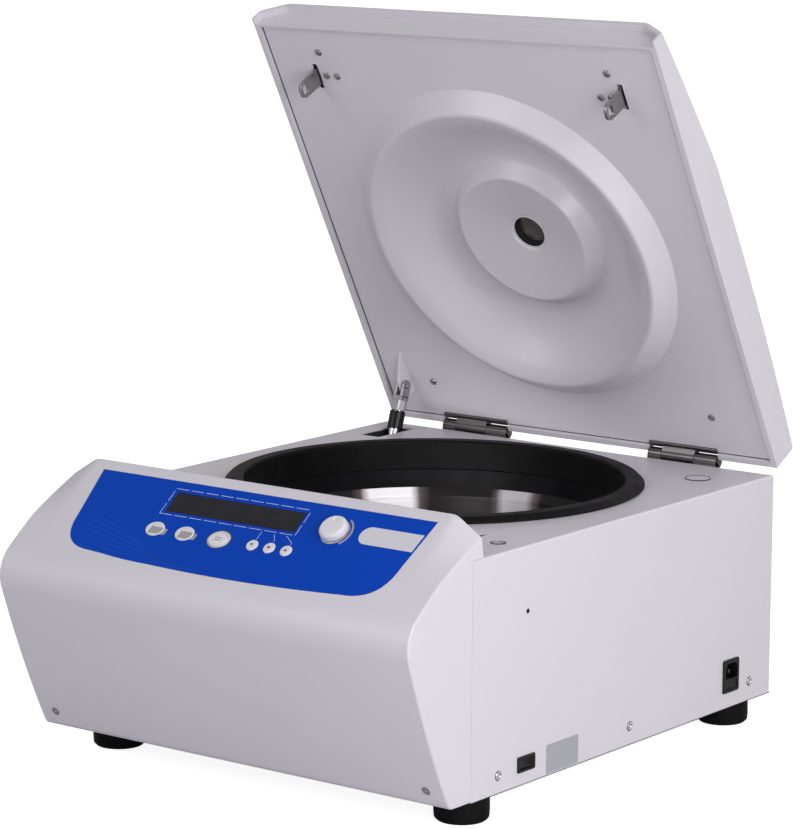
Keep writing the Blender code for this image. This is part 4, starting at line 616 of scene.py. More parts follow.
def dress(obj, finish, body, hides=(), sharp=35, bevel=0):
    # Finish, shading, the body it rides on and the nodes it stands for.
    obj.data.materials.clear()
    obj.data.materials.append(finishes[finish])
    for face in obj.data.polygons:
        face.material_index = 0
    obj.data.shade_smooth()
    obj.data.set_sharp_from_angle(angle=radians(sharp))
    if bevel:
        soft = obj.modifiers.new("softEdges", "BEVEL")
        soft.width = bevel * mm
        soft.segments = 2
        soft.limit_method = "ANGLE"
        soft.angle_limit = radians(40)
        soft.harden_normals = False
    weighted = obj.modifiers.new("evenShade", "WEIGHTED_NORMAL")
    weighted.keep_sharp = True
    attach(obj, body)
    if hides:
        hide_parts(*hides)


def piece(name, shape, finish, body, hides=(), at=None, cuts=(), sharp=35, bevel=0):
    # Each entry of cuts is a list of shapes that are cut out together.
    obj = meshObject(name, shape, at)
    for shapes in cuts:
        carve(obj, *shapes)
    dress(obj, finish, body, hides, sharp, bevel)


lidPlace = place(0, machine["hingeY"], machine["hingeZ"], -machine["lidAngle"])
facePlace = place(0, machine["faceY"], machine["faceZ"], machine["faceAngle"])
strutPlace = place(machine["strutX"], machine["strutY"], machine["strutZ"], -machine["strutLean"])


def faceToWorld(shape):
    # From the control face's own plane to the machine's frame, in millimetres.
    turn = Matrix.Rotation(radians(machine["faceAngle"]), 4, "X")
    shape.transform(Matrix.Translation((0, machine["faceY"], machine["faceZ"])) @ turn)
    return shape


def hipAt(x, ease=0.16):
    # 0 on the flat middle and 1 at the sides; the bend between them is eased.
    over = (abs(x) - machine["hipFlat"]) / machine["hipWidth"]
    if over < -ease:
        return 0
    return (over + ease) ** 2 / (4 * ease) if over < ease else over


def sideStations(half, edge):
    # Places across the body as (x, how far its edge has rounded), from side to side.
    right = [(x, 0) for x in (0, 60, 120, 170, 195, 198, 200.5, 203, 205.5, 208, 213, 219)]
    right += [(half - edge + edge * far, edge * (1 - near)) for far, near in quarter(5)]
    return [(-x, inset) for x, inset in reversed(right[1:])] + right


screwMeshes = {}


def screw(name, at, radius, height, finish, body):
    # A domed head with a cross recess on +Z of its seat; screws of one size share a mesh.
    key = (radius, height, finish)
    if key not in screwMeshes:
        dome = [(0, -0.6), (radius * 0.96, -0.6), (radius, 0), (radius, height * 0.35, height * 0.3),
                (radius * 0.62, height * 0.9, radius * 0.5), (0, height)]
        model = meshObject("screwModel", turnShape(softLine(dome, 4), 40))
        for turn in (0, 90):
            blade = loftShape([
                [(x * share, y, z) for x, y in aroundLine(0, 0, radius * 0.62, radius * 0.16)]
                for share, z in ((0.35, height * 0.25), (1.15, height + 0.5))])
            blade.transform(Matrix.Rotation(radians(turn), 4, "Z"))
            carve(model, blade)
        screwMeshes[key] = model.data
        bpy.data.objects.remove(model)
    obj = bpy.data.objects.new(name, screwMeshes[key])
    bpy.context.scene.collection.objects.link(obj)
    obj.matrix_world = at
    dress(obj, finish, body)


caseSet = {
    "bend": 2.4, "sheet": 1.5, "holeRadius": 182, "plugHole": 10.8, "plugPlace": (183, 205.5),
    "strutSlot": ((-206, 188), (-180, 245.5)), "latchHalf": (4, 13.8), "latchY": -133.65,
    "rockerHole": (-135.1, 45.1, 11.3, 5.6), "inletHole": (194.1, 57.2, 11.4, 14),
    "ventCount": 9, "ventPitch": 8, "ventWide": 3, "ventMiddle": 101.5, "ventHalf": 25,
}


def bentBox(low, high, radius, segments):
    # A box whose top and upright rear edges are bent round; it stays sharp at the front and below.
    shape = blockShape(low, high)
    edges = []
    for edge in shape.edges:
        middle = (edge.verts[0].co + edge.verts[1].co) / 2
        atSide = abs(abs(middle.x) - high[0]) < 0.1
        atTop = abs(middle.z - high[2]) < 0.1
        atRear = abs(middle.y - high[1]) < 0.1
        if atSide + atTop + atRear == 2:
            edges.append(edge)
    bmesh.ops.bevel(shape, geom=edges, offset=radius, segments=segments, profile=0.5, affect="EDGES")
    return shape


def ventSlots(s, middle, low, high):
    # A row of upright slots with round ends, across the middle of the machine.
    wide = s["ventWide"] / 2
    return [slabShape(aroundLine((index - (s["ventCount"] - 1) / 2) * s["ventPitch"], middle, wide,
                                 s["ventHalf"], wide), low, high) for index in range(s["ventCount"])]


def makeCase(s):
    half, front, rear = machine["caseHalf"], machine["seamY"], machine["rearY"]
    low, top, sheet = machine["bottomZ"], machine["topZ"], s["sheet"]
    inside = bentBox((sheet - half, front - 4, low - 4), (half - sheet, rear - sheet, top - sheet),
                     s["bend"] - sheet, 3)
    upper = (top - 5, top + 4)
    holes = [rodShape(s["holeRadius"], *upper, 0, 180, (0, machine["chamberY"])),
             rodShape(s["plugHole"], *upper, 0, 48, s["plugPlace"]),
             slabShape(boxLine(*s["strutSlot"], 1.5), *upper)]
    for x in (-machine["hookX"], machine["hookX"]):
        holes.append(slabShape(aroundLine(x, s["latchY"], *s["latchHalf"], 1.5), *upper))
    holes += [sideSlab(aroundLine(*hole), half - 5, half + 4) for hole in (s["rockerHole"], s["inletHole"])]
    holes += [layAlong(slot, "y") for slot in ventSlots(s, s["ventMiddle"], rear - 5, rear + 4)]
    case = bentBox((-half, front, low), (half, rear, top), s["bend"], 6)
    piece("caseShell", case, "whitePaint", "frame", ("case_shell",), None, [[inside], holes])


makeCase(caseSet)

baseSet = {"half": 228.2, "rear": 263.7, "front": -214.2, "sheet": 1.5, "lip": 12, "corner": 5,
           "hemHigh": 0.9}


def makeBase(s, c):
    low, half, front, rear, corner = machine["bottomZ"], s["half"], s["front"], s["rear"], s["corner"]
    plan = softLine([(-half, front), (half, front), (half, rear, corner), (-half, rear, corner)])
    tray = slabShape(plan, low, low + s["sheet"], 0.3, 0.3)
    vents = ventSlots(c, machine["chamberY"], low - 4, low + 4)
    piece("basePlate", tray, "zincSheet", "frame", ("base_plate",), None, [vents])
    lips = [blockShape((x, front, low + 0.8), (x + s["sheet"], rear - corner, low + s["lip"]))
            for x in (-half, half - s["sheet"])]
    piece("basePlateLips", together(*lips), "zincSheet", "frame", bevel=0.3)
    # A thin strip of painted shadow runs along the lower edge of the case
    outer, y0, y1 = machine["caseHalf"] - 0.15, machine["seamY"] + 0.4, machine["rearY"] - 0.15
    edgeShadow = [blockShape((x0, y, low - s["hemHigh"]), (x1, y1, low - 0.05)) for x0, x1, y in (
        (-outer, 1.5 - outer, y0), (outer - 1.5, outer, y0), (1.6 - outer, outer - 1.6, y1 - 1.5))]
    piece("caseHem", together(*edgeShadow), "darkGap", "frame")


makeBase(baseSet, caseSet)

footSet = {"radius": 24.5, "top": 21.5, "high": 26.7, "well": 8, "deep": 12, "x": 196, "frontY": -181.5,
           "rearY": 235.5}


def makeFeet(s):
    r, top, high, well, deep = s["radius"], s["top"], s["high"], s["well"], s["deep"]
    profile = softLine([(well, 0, 0.6), (r - 3.2, 0, 1.2), (r - 0.5, 2.6, 1.6), (r, 9, 2), (r - 0.2, 20, 1.5),
                        (top + 1, 25.6, 1), (top, high), (0, high), (0, deep), (well, deep, 0.5)], 4)
    for end, y in (("front_", s["frontY"]), ("rear_", s["rearY"])):
        for side, word in sides:
            name = "foot_" + end + word
            piece(name, turnShape(profile, 72), "blackRubber", "frame", (name,), place(side * s["x"], y, 0))


makeFeet(footSet)

chamberSet = {
    "inner": 177, "bead": 195, "lean": 4.5, "top": 242.7, "skirt": 181.7, "skirtLow": 214.5,
    "ringLow": 185.2, "ringTop": 214.2, "ringOuter": 186.2, "ringWall": 2.2, "ringFoot": 1.8,
    "bandTop": 196.6, "bowl": 172, "floor": 84, "corner": 24, "sheet": 1.5, "collar": 30, "collarTop": 92,
}


def makeChamber(s):
    plate, centre, inner = machine["topZ"] + 0.3, place(0, machine["chamberY"], 0), s["inner"]
    bead = softLine([(inner, s["skirtLow"], 0.6), (s["skirt"], s["skirtLow"], 0.6), (s["skirt"], plate),
                     (s["bead"], plate, 0.4), (s["bead"], plate + 1.5, 1),
                     (s["bead"] - s["lean"], s["top"], 2.6), (inner, s["top"], 2.8)], 6)
    piece("chamberGasket", turnShape(bead, 180), "blackRubber", "frame", ("chamber_gasket",), centre,
          sharp=50)
    low, outer, wall = s["ringLow"], s["ringOuter"], inner + s["ringWall"]
    foot = low + s["ringFoot"]
    ring = softLine([(inner, low, 0.5), (outer, low, 0.3), (outer, foot, 0.3), (wall, foot),
                     (wall, s["ringTop"], 0.4), (inner, s["ringTop"], 0.6)], 3)
    piece("guardRing", turnShape(ring, 144), "darkMoulding", "frame", ("guard_ring",), centre)
    rim, floor, corner, sheet = low - 0.3, s["floor"], s["corner"], s["sheet"]
    bowl, collar, band = s["bowl"], s["collar"], s["bandTop"]
    line = softLine([(outer, rim), (bowl, rim, 1.2), (bowl, floor, corner), (collar, floor, 2),
                     (collar, s["collarTop"], 0.4), (collar - sheet, s["collarTop"], 0.4),
                     (collar - sheet, floor - sheet, 2), (bowl + sheet, floor - sheet, corner + sheet),
                     (bowl + sheet, rim - sheet, 0.6), (outer, rim - sheet)], 10)
    piece("chamberBowl", turnShape(line, 180), "turnedSteel", "frame", ("chamber_bowl",), centre, sharp=50)
    # A turned steel band stands inside the guard ring's lower edge
    line = softLine([(bowl, rim - 0.4), (inner - 0.1, rim), (inner - 0.1, band, 0.3),
                     (inner - 0.7, band, 0.3), (bowl, band - 8, 3)], 4)
    piece("bowlBand", turnShape(line, 180), "turnedSteel", "frame", (), centre, sharp=50)


makeChamber(chamberSet)

rotorSet = {
    "z": 146, "radius": 112, "plate": 7, "hub": 26, "hubRise": 10, "bore": 7.3, "orbit": 95,
    "pocketHalf": 26.2, "pocketInner": 66, "lightening": 16, "lighteningOrbit": 78, "nut": 13,
    "bucketRadius": 21.5, "bucketWall": 2, "bucketDrop": 50, "bucketRise": 12, "ear": (20.6, 25.5),
}


def makeRotor(s):
    centre = place(0, machine["chamberY"], s["z"])
    p, r, hub, half, top = s["plate"], s["radius"], s["hub"], s["pocketHalf"], s["plate"] + s["hubRise"]
    head = softLine([(s["bore"], -p), (r, -p, 1.5), (r, p, 1.5), (r - 12, p, 0.5), (hub + 6, p, 5),
                     (hub - 5, top, 2), (s["bore"], top)])
    voids, pins = [], []
    for index in range(4):
        turn = Matrix.Rotation(pi / 2 * index, 4, "Z")
        pocket = slabShape(boxLine((s["pocketInner"], -half), (r + 20, half), 7), -p - 4, p + 4)
        spread = s["lighteningOrbit"] * cos(pi / 4)
        hole = rodShape(s["lightening"], -p - 4, p + 14, 0, 48, (spread, spread))
        for shape in (pocket, hole):
            shape.transform(turn)
            voids.append(shape)
        for side in (-1, 1):
            pin = layAlong(rodShape(4, half - 3.6, half + 3.6, 0.6), "y")
            bmesh.ops.translate(pin, verts=pin.verts, vec=(s["orbit"], 0, 0))
            pin.transform(turn @ Matrix.Scale(side, 4, (0, 1, 0)))
            pins.append(pin)
    piece("rotorHead", turnShape(head, 144), "aluminium", "rotor", ("rotor_head",), centre, [voids],
          bevel=0.5)
    piece("rotorPins", together(*pins), "steel", "rotor", (), centre)
    low = top + 0.3
    crown = softLine([(0, low + 6.8), (11, low + 6.8), (10, low + 9, 1.5), (7, low + 12, 2.5),
                      (0, low + 12)], 4)
    nut = together(slabShape(hexLine(s["nut"], 1.2), low, low + 7, 0.8, 0.3), turnShape(crown, 48))
    piece("rotorNut", nut, "steel", "rotor", ("rotor_nut",), centre)
    outer, drop, rise, wall = s["bucketRadius"], -s["bucketDrop"], s["bucketRise"], s["bucketWall"]
    cup = softLine([(0, drop), (outer, drop, 10), (outer, rise, 0.7), (outer - wall, rise, 0.7),
                    (outer - wall, drop + wall, 8), (0, drop + wall)], 7)
    hook = softLine([(-7.5, 8, 3), (-7.5, -8, 1), (-4.3, -8), (-4.3, 0), (-3.1, 3.1), (0, 4.3), (3.1, 3.1),
                     (4.3, 0), (4.3, -8), (7.5, -8, 1), (7.5, 8, 3)], 4)
    for index, word in enumerate(("right", "rear", "left", "front")):
        body, angle = "bucket_" + word, pi / 2 * index
        at = place(s["orbit"] * cos(angle), machine["chamberY"] + s["orbit"] * sin(angle), s["z"], 0,
                   90 * index)
        piece(body, turnShape(cup, 72), "aluminium", body, (body,), at, sharp=50)
        ears = [layAlong(slabShape(hook, *sorted(side * reach for reach in s["ear"])), "y")
                for side in (-1, 1)]
        piece("bucketEars_" + word, together(*ears), "aluminium", body, (), at, bevel=0.3)


makeRotor(rotorSet)
print("case, base, feet, chamber and rotor made")

coverSet = {
    "wall": 3, "edge": 2.2, "rearY": -198, "ridgeLean": 1.5, "ridgeReach": 3, "ridgeRound": 4,
    "faceLength": 108.5, "bellyAngle": 22.6, "noseBulge": 12, "noseHigh": 43.5, "crown": 4, "footRound": 6,
    "hipStart": 50, "hipPower": 1.3, "rearDeep": 30, "screw": (210.5, -251.7, 43.4),
}
faceSet = {
    "sheet": 0.8, "halfTop": 188, "halfSide": 181, "halfBottom": 142, "top": 10, "sideEnd": 64,
    "cornerEnd": 101, "bottom": 106.5, "middleX": 2, "window": ((-89, -45), (57, -22.5)), "keyRow": 66.2,
    # name: (x, half width, half height)
    "keys": {"start": (-86.5, 10, 8), "pulse": (-52.5, 10, 8), "stop": (-14.5, 10, 8),
             "down": (24, 5.8, 5.8), "set": (43, 5.8, 5.8), "up": (61.5, 5.8, 5.8)},
    "knob": (97, -37), "knobRadius": 13.3, "knobTop": 8.3, "knobHole": 14.2,
}


def coverLine(s, hip, inset):
    # The cover seen from the side as (y, z), from its foot over the nose to the ridge.
    slope, recline = tan(radians(machine["faceAngle"])), tan(radians(s["bellyAngle"]))
    low, ridge = machine["bottomZ"], (machine["faceY"], machine["faceZ"])
    along = s["faceLength"] * cos(radians(machine["faceAngle"]))
    faceEnd = (ridge[0] - along, ridge[1] - along * slope)
    noseEnd = (faceEnd[0] - s["noseBulge"], faceEnd[1] - s["noseHigh"])
    meetZ = (ridge[1] + (noseEnd[0] + noseEnd[1] * recline - ridge[0]) * slope) / (1 + slope * recline)
    meet = (noseEnd[0] - (meetZ - noseEnd[1]) * recline, meetZ)
    foot = (noseEnd[0] + (noseEnd[1] - low) * recline, low)
    belly = ((foot[0] + noseEnd[0]) / 2 - s["crown"], (foot[1] + noseEnd[1]) / 2 - s["crown"] * recline)
    start = (foot[0] - s["footRound"] * recline, foot[1] + s["footRound"])
    points = [(foot[0] + s["footRound"], foot[1])]
    points += between(points[0], foot, start, 5)
    points += between(start, belly, noseEnd, 12)
    points += between(noseEnd, meet, faceEnd, 22)
    hipStart = machine["seamY"] - s["hipStart"]
    for step in range(1, 11):
        y, z = (a + (b - a) * step / 10 for a, b in zip(faceEnd, ridge))
        fall = max(0, (y - hipStart) / (ridge[0] - hipStart)) ** s["hipPower"]
        points.append((y, z - hip * machine["hipDrop"] * fall))
    moved = []
    for index, (y, z) in enumerate(points):
        before, after = points[max(index - 1, 0)], points[min(index + 1, len(points) - 1)]
        way = Vector((after[0] - before[0], after[1] - before[1])).normalized()
        moved.append((y + way.y * inset, z - way.x * inset))
    moved[0] = (moved[0][0], low + inset)
    below, last = moved[-2:]
    grade = (last[1] - below[1]) / (last[0] - below[0])
    rear = s["rearY"] - s["ridgeLean"] - inset
    turnY = rear - s["ridgeReach"]
    turnZ = last[1] + (turnY - last[0]) * grade
    moved[-1] = (turnY, turnZ)
    return moved + between(moved[-1], (rear, turnZ + s["ridgeReach"] * grade),
                           (rear, turnZ - s["ridgeRound"]), 6)


def overlayLine(s, spare=0):
    # The blue sheet's outline in the control face's own plane.
    corner = (s["halfSide"] - (s["halfTop"] - s["halfSide"]) / 4, -s["cornerEnd"])
    end = (s["halfBottom"], -s["cornerEnd"])
    right = [(s["halfTop"], -s["top"]), (s["halfSide"], -s["sideEnd"])]
    right += between(right[-1], corner, end, 14)
    bottom = between(end, (0, -2 * s["bottom"] + s["cornerEnd"]), (-end[0], end[1]), 28)[:-1]
    line = [(x + s["middleX"], y) for x, y in right + bottom + [(-x, y) for x, y in reversed(right)]]
    return insetLoop(line, -spare) if spare else line


def keyHoles(f, low, high):
    return [slabShape(ovalLine(x, -f["keyRow"], wide + 0.3, tall + 0.3), low, high)
            for x, wide, tall in f["keys"].values()]


def makeFrontCover(s, f):
    low, plate, seam = machine["bottomZ"], machine["topZ"] + 0.3, machine["seamY"] - 0.3
    wall, inner, flat = s["wall"], machine["caseHalf"] - s["wall"], machine["hipFlat"]
    outside = []
    for x, inset in sideStations(machine["caseHalf"], s["edge"]):
        line = coverLine(s, hipAt(x), inset) + [(s["rearY"] - inset, plate), (seam, plate),
                                                (seam, low + inset)]
        outside.append([(x, y, z) for y, z in line])
    inside, deep = [], machine["seamY"] + s["rearDeep"]
    for x in (-inner, -215, -flat, flat, 215, inner):
        line = coverLine(s, hipAt(x), wall) + [(s["rearY"] - wall, plate - 4), (deep, plate - 4),
                                               (deep, low + wall)]
        inside.append([(x, y, z) for y, z in line])
    (x0, y0), (x1, y1) = f["window"]
    holes = [slabShape(boxLine((x0 + 3, y0 + 3), (x1 - 3, y1 - 3), 1), -7, 0),
             rodShape(3.3, -7, 0, 0, 24, f["knob"])]
    cuts = [[loftShape(inside)], [faceToWorld(slabShape(overlayLine(f, 0.3), -1.1, 4))],
            [faceToWorld(hole) for hole in holes + keyHoles(f, -7, 0)]]
    piece("frontCover", loftShape(outside), "whiteMoulding", "frame", ("front_cover",), None, cuts, sharp=38)
    x, y, z = s["screw"]
    for side, word in sides:
        at = place(side * x, y, z, 90 + s["bellyAngle"])
        screw("coverScrew" + word.title(), at, 4.6, 1.5, "steel", "frame")


makeFrontCover(coverSet, faceSet)
print("front cover made")

printSet = {
    "thick": 0.05, "line": 0.55, "frame": ((-93.5, -48.3), (60, -18.5)), "dash": 14.5, "dashGap": 3,
    # the lines that lead from three keys to the display, as (key, bend, end) with heights from the frame
    "leads": (("down", (24.5, -55), (24.5, -1.6)), ("set", (43, -57.5), (38.5, -2.2)),
              ("up", (62, -57), (52, -1.8))), "leadStart": 7.2,
    "plate": ((123, -45.5), (183.7, -26)), "plateSlant": 2.1, "plateRound": 9.5, "arcRadius": (15.6, 17.4),
    "sweeps": 7, "sweepWide": 0.9,
}


def strip(start, end, wide):
    # The outline of a straight printed line.
    start, end = Vector(start), Vector(end)
    along = (end - start).normalized()
    across = Vector((-along.y, along.x)) * wide / 2
    return [tuple(start - across), tuple(end - across), tuple(end + across), tuple(start + across)]


def dashes(start, end, long, gap, wide):
    start, whole = Vector(start), Vector((end[0] - start[0], end[1] - start[1]))
    count = max(1, round(whole.length / (long + gap)))
    return [strip(start + whole * index / count,
                  start + whole * (index + 1) / count - whole.normalized() * gap, wide)
            for index in range(count)]


def makeControlFace(f, p):
    def onFace(name, shape, finish, hides=(), cuts=()):
        piece(name, shape, finish, "frame", hides, facePlace, cuts)

    sheet = f["sheet"]
    (x0, y0), (x1, y1) = f["window"]
    openings = [slabShape(boxLine((x0 - 0.3, y0 - 0.3), (x1 + 0.3, y1 + 0.3)), -4, 4),
                rodShape(f["knobHole"], -4, 4, 0, 64, f["knob"])] + keyHoles(f, -4, 4)
    onFace("controlOverlay", slabShape(overlayLine(f), -sheet, 0, 0.15), "overlayBlue", ("control_overlay",),
           [openings])
    onFace("displayWindow", slabShape(boxLine((x0, y0), (x1, y1), 0.6), -sheet, 0, 0.2), "windowSmoke",
           ("display_window",))

    lines = []
    (a0, b0), (a1, b1) = p["frame"]
    for start, end in (((a0, b1), (a1, b1)), ((a0, b0), (a1, b0)), ((a0, b0), (a0, b1)),
                       ((a1, b0), (a1, b1))):
        lines += dashes(start, end, p["dash"], p["dashGap"], p["line"])
    for key, middle, (x, drop) in p["leads"]:
        start = (f["keys"][key][0], p["leadStart"] - f["keyRow"])
        lines += [strip(start, middle, p["line"] * 0.8), strip(middle, (x, b0 + drop), p["line"] * 0.8)]
    onFace("windowFrameLines", together(*[slabShape(line, -0.02, p["thick"]) for line in lines]),
           "printWhite")

    # Faint sweeping lines in the lower left of the sheet
    sweeps = []
    for index in range(p["sweeps"]):
        start, end = (-172 + index * 3, -60 - index * 6.2), (-62 + index * 8, -101 - index * 0.2)
        line = [start] + between(start, (-110 + index * 3, -70 - index * 6.6), end, 14)
        sweeps += [slabShape(strip(one, two, p["sweepWide"]), -0.02, 0.02)
                   for one, two in zip(line, line[1:])]
    onFace("sheetSweeps", together(*sweeps), "overlayPale")

    for index, key in ((1, "start"), (0, "pulse")):
        x, y = f["keys"][key][0], -f["keyRow"]
        patch = arcLine(x, y, 10.6, 8.6, range(14, -42, -6)) + [(x + 13.2, y - 4.9), (x + 13.7, y + 1.6)]
        onFace("keyPatch%d" % index, slabShape(patch, -0.02, 0.06), "printGrey")
    (c0, d0), (c1, d1) = p["plate"]
    plate = [(c0, d0, p["plateRound"]), (c1, d0), (c1 + p["plateSlant"], d1), (c0, d1, p["plateRound"])]
    onFace("barePlate", slabShape(softLine(plate, 8), -0.02, 0.12, 0.05), "plateWhite")
    near, far = p["arcRadius"]
    arc = arcLine(*f["knob"], near, near, range(-48, 61, 6))
    arc += arcLine(*f["knob"], far, far, range(60, -49, -6))
    onFace("knobScaleArc", slabShape(arc, -0.02, 0.3, 0.1), "printGrey")


makeControlFace(faceSet, printSet)

keySet = {"rise": 1.2, "round": 0.9, "dish": 0.12, "flange": 1, "flangeLow": -4.7, "flangeTop": -3.3,
          "low": -10.1, "ring": (11.9, 9.4, 1.1)}


def makeKeys(f, s):
    top, drop = s["rise"], s["round"]

    def mark(kind, word, *shapes, finish="printDark", body=None, cuts=()):
        at = facePlace @ place(f["keys"][word][0], -f["keyRow"], 0)
        piece("key%s_%s" % (kind, word), together(*shapes), finish, body or "key_" + word, (), at, cuts)

    for word, (x, wide, high) in f["keys"].items():
        stem = -wide * 0.6
        levels = [(wide + more, high + more * high / wide, z) for more, z in (
            (stem, s["low"]), (stem, s["flangeLow"]), (s["flange"], s["flangeLow"]),
            (s["flange"], s["flangeTop"]), (0, s["flangeTop"]), (0, top - drop))]
        for far, near in quarter(5)[1:]:
            back = drop * 1.6 * (1 - near)
            levels.append((wide - back, high - back, top - drop * (1 - far)))
        for share in (0.6, 0.3, 0.02):
            levels.append(((wide - 1.5) * share, (high - 1.5) * share, top + s["dish"] * (1 - share)))
        rings = [[(px, py, z) for px, py in ovalLine(0, 0, across, tall)] for across, tall, z in levels]
        name, at = "key_" + word, facePlace @ place(x, -f["keyRow"], 0)
        piece(name, loftShape(rings), "keyWhite", name, (name,), at, sharp=50)
    for word in ("start", "pulse"):
        tab = [(-4, 2), (-4.4, -5.8)] + arcLine(0, 0, 9.3, 7.3, range(-54, 16, 6))
        mark("Tab", word, slabShape(tab, 0.2, top + 0.22, 0.15), finish="printGrey")
    # A printed oval stands round the third key
    wide, high = f["keys"]["stop"][1:]
    across, tall, line = s["ring"]
    mark("Field", "stop", slabShape(ovalLine(0.8, 0.2, across, tall), -0.02, 0.05), finish="keyWhite",
         body="frame", cuts=[[slabShape(ovalLine(0, 0, wide + 0.4, high + 0.4), -4, 4)]])
    mark("Ring", "stop", slabShape(ovalLine(1, 0.4, across + line, tall + line), -0.02, 0.04), body="frame",
         cuts=[[slabShape(ovalLine(0.8, 0.2, across - 0.2, tall - 0.2), -4, 4)]])
    mark("Mark", "stop", slabShape(strip((-3.5, 1.3), (4.5, 1.3), 0.5), top, top + 0.2),
         slabShape(strip((-3, -1.3), (4, -1.3), 0.5), top, top + 0.2))
    mark("Mark", "set", slabShape(ovalLine(0, 0, 1.3, 1.3, 20), top, top + 0.2))
    for word, way in (("down", -1), ("up", 1)):
        arrow = [(-1.8 * way, -1.1 * way), (1.8 * way, -1.1 * way), (0, 1.6 * way)]
        mark("Mark", word, slabShape(arrow, top, top + 0.2))


makeKeys(faceSet, keySet)


def makeKnob(f):
    r, top = f["knobRadius"], f["knobTop"]
    profile = softLine([(0, -10.9), (3, -10.9), (3, 1), (r - 0.8, 1, 0.4), (r, 2.4, 1.5),
                        (r - 0.5, top - 2.2, 1.6), (r - 2.4, top - 0.3, 1.5), (0, top)])
    dimple = softLine([(0, top - 1), (2.4, top - 0.9, 1.5), (3.8, top + 0.4), (0, top + 3)], 4)
    piece("speedKnob", turnShape(profile), "keyWhite", "speed_knob", ("speed_knob",),
          facePlace @ place(*f["knob"], 0), [[turnShape(dimple, 40, (0, r * 0.58))]], sharp=40)


makeKnob(faceSet)
print("control face, keys and knob made")

lidSet = {
    "half": 227.5, "rear": 2.5, "front": 472.5, "frontWall": 465.5, "rearHigh": 33.5, "crownHigh": 41.5,
    "frontHigh": 31, "crownShare": 0.455, "hipShare": 0.677, "wall": 2, "lip": 5.5, "lipHigh": 3.5,
    "edge": 2.5, "endRound": 3.2, "noseLip": 6, "notchHigh": 12.5, "notchHalf": 39.4, "glassHole": 16.5,
    "dishU": 231.95,
}


def lidTop(s, u, hip):
    crown = s["front"] * s["crownShare"]
    if u < crown:
        share, end = (crown - u) / (crown - s["rear"]), s["rearHigh"]
    else:
        share, end = (u - crown) / (s["front"] - crown), s["frontHigh"]
    hipStart = s["front"] * s["hipShare"]
    fall = max(0, (u - hipStart) / (s["front"] - hipStart))
    return s["crownHigh"] - (s["crownHigh"] - end) * share ** 2 - hip * machine["hipDrop"] * fall


def lidRing(s, half, u, low=0, drop=0):
    # One cross section of the lid at the distance u from the hinge.
    top = [(x, -u, lidTop(s, u, hipAt(x)) - drop - inset) for x, inset in sideStations(half, s["edge"])]
    return [(half, -u, low)] + top[::-1] + [(-half, -u, low)]


def makeLid(s):
    r, half, rear, front, edge, wall = s["endRound"], s["half"], s["rear"], s["front"], s["edge"], s["wall"]
    rings = [lidRing(s, half, rear + r * (1 - near), 0, r * (1 - far)) for far, near in quarter(5)]
    rings += [lidRing(s, half, rear + r + (front - rear - r - edge) * step / 30) for step in range(1, 30)]
    rings += [lidRing(s, half, front - edge * (1 - far), 0, edge * (1 - near)) for far, near in quarter(5)]
    inner, start, end = half - wall, rear + wall, s["frontWall"] - wall
    inside = [lidRing(s, inner, start + (end - start) * step / 14, s["lipHigh"], wall) for step in range(15)]
    mouth = half - s["lip"]
    opening = blockShape((-mouth, -end, -4), (mouth, -rear - s["lip"], s["lipHigh"] + 4))
    flat, noseTop = machine["hipFlat"], s["frontHigh"] - s["noseLip"]
    noseSide = noseTop - machine["hipDrop"] * (inner - flat) / machine["hipWidth"]
    nose = softLine([(-inner, -4), (inner, -4), (inner, noseSide, 4), (flat, noseTop, 6), (-flat, noseTop, 6),
                     (-inner, noseSide, 4)], 4)
    rest = [layAlong(slabShape(nose, -front - 4, -s["frontWall"]), "y"),
            rodShape(s["glassHole"], 6, s["crownHigh"] + 4, 0, 72, (0, -s["dishU"]))]
    for x in (-machine["hingeX"], machine["hingeX"]):
        rest.append(blockShape((x - s["notchHalf"], -rear - s["lip"] - 4, -4),
                               (x + s["notchHalf"], 4, s["notchHigh"])))
    piece("lidShell", loftShape(rings), "whitePaint", "lid", ("lid_shell",), lidPlace,
          [[loftShape(inside)], [opening], rest], sharp=32)


makeLid(lidSet)
print("lid shell made")

linerSet = {
    "low": 3.8, "sheet": 1.5, "half": 225.2, "seam": (222, 8), "rear": 6.8, "front": 463.2, "steps": 144,
    # (radius, depth from the flat sheet), pressed outwards where it is below zero
    "rim": ((175, 0), (173.4, 0, 1.4), (154.6, -16.2, 5.5), (146, -12.4, 6)),
    "dish": ((140, -8.4), (129, 1.4), (117.6, 11), (107, 17.2), (97, 21), (89, 22.6), (83, 22.5)),
    "disc": ((80, 21.6, 0.7), (69.5, 8.4, 3), (43, 15.6, 30), (20.4, 20.6, 0.7), (16.7, 24.4)),
    "hookHalf": (3.2, 13.4),
    "screws": ((-163.1, 436.3), (-162.6, 410.4), (-150.2, 410.4), (163.8, 433), (149.6, 407.1),
               (161.3, 407.6), (-162.5, 50.5), (165.8, 50.9)),
}


def smoothThrough(points, steps=3):
    # A soft curve through the given points.
    line = []
    for index in range(len(points) - 1):
        four = [points[min(max(index + step, 0), len(points) - 1)] for step in (-1, 0, 1, 2)]
        for t in (step / steps for step in range(steps)):
            line.append(tuple(0.5 * (2 * b + (c - a) * t + (2 * a - 5 * b + 4 * c - d) * t * t
                                     + (3 * b - a - 3 * c + d) * t ** 3) for a, b, c, d in zip(*four)))
    return line + [points[-1]]


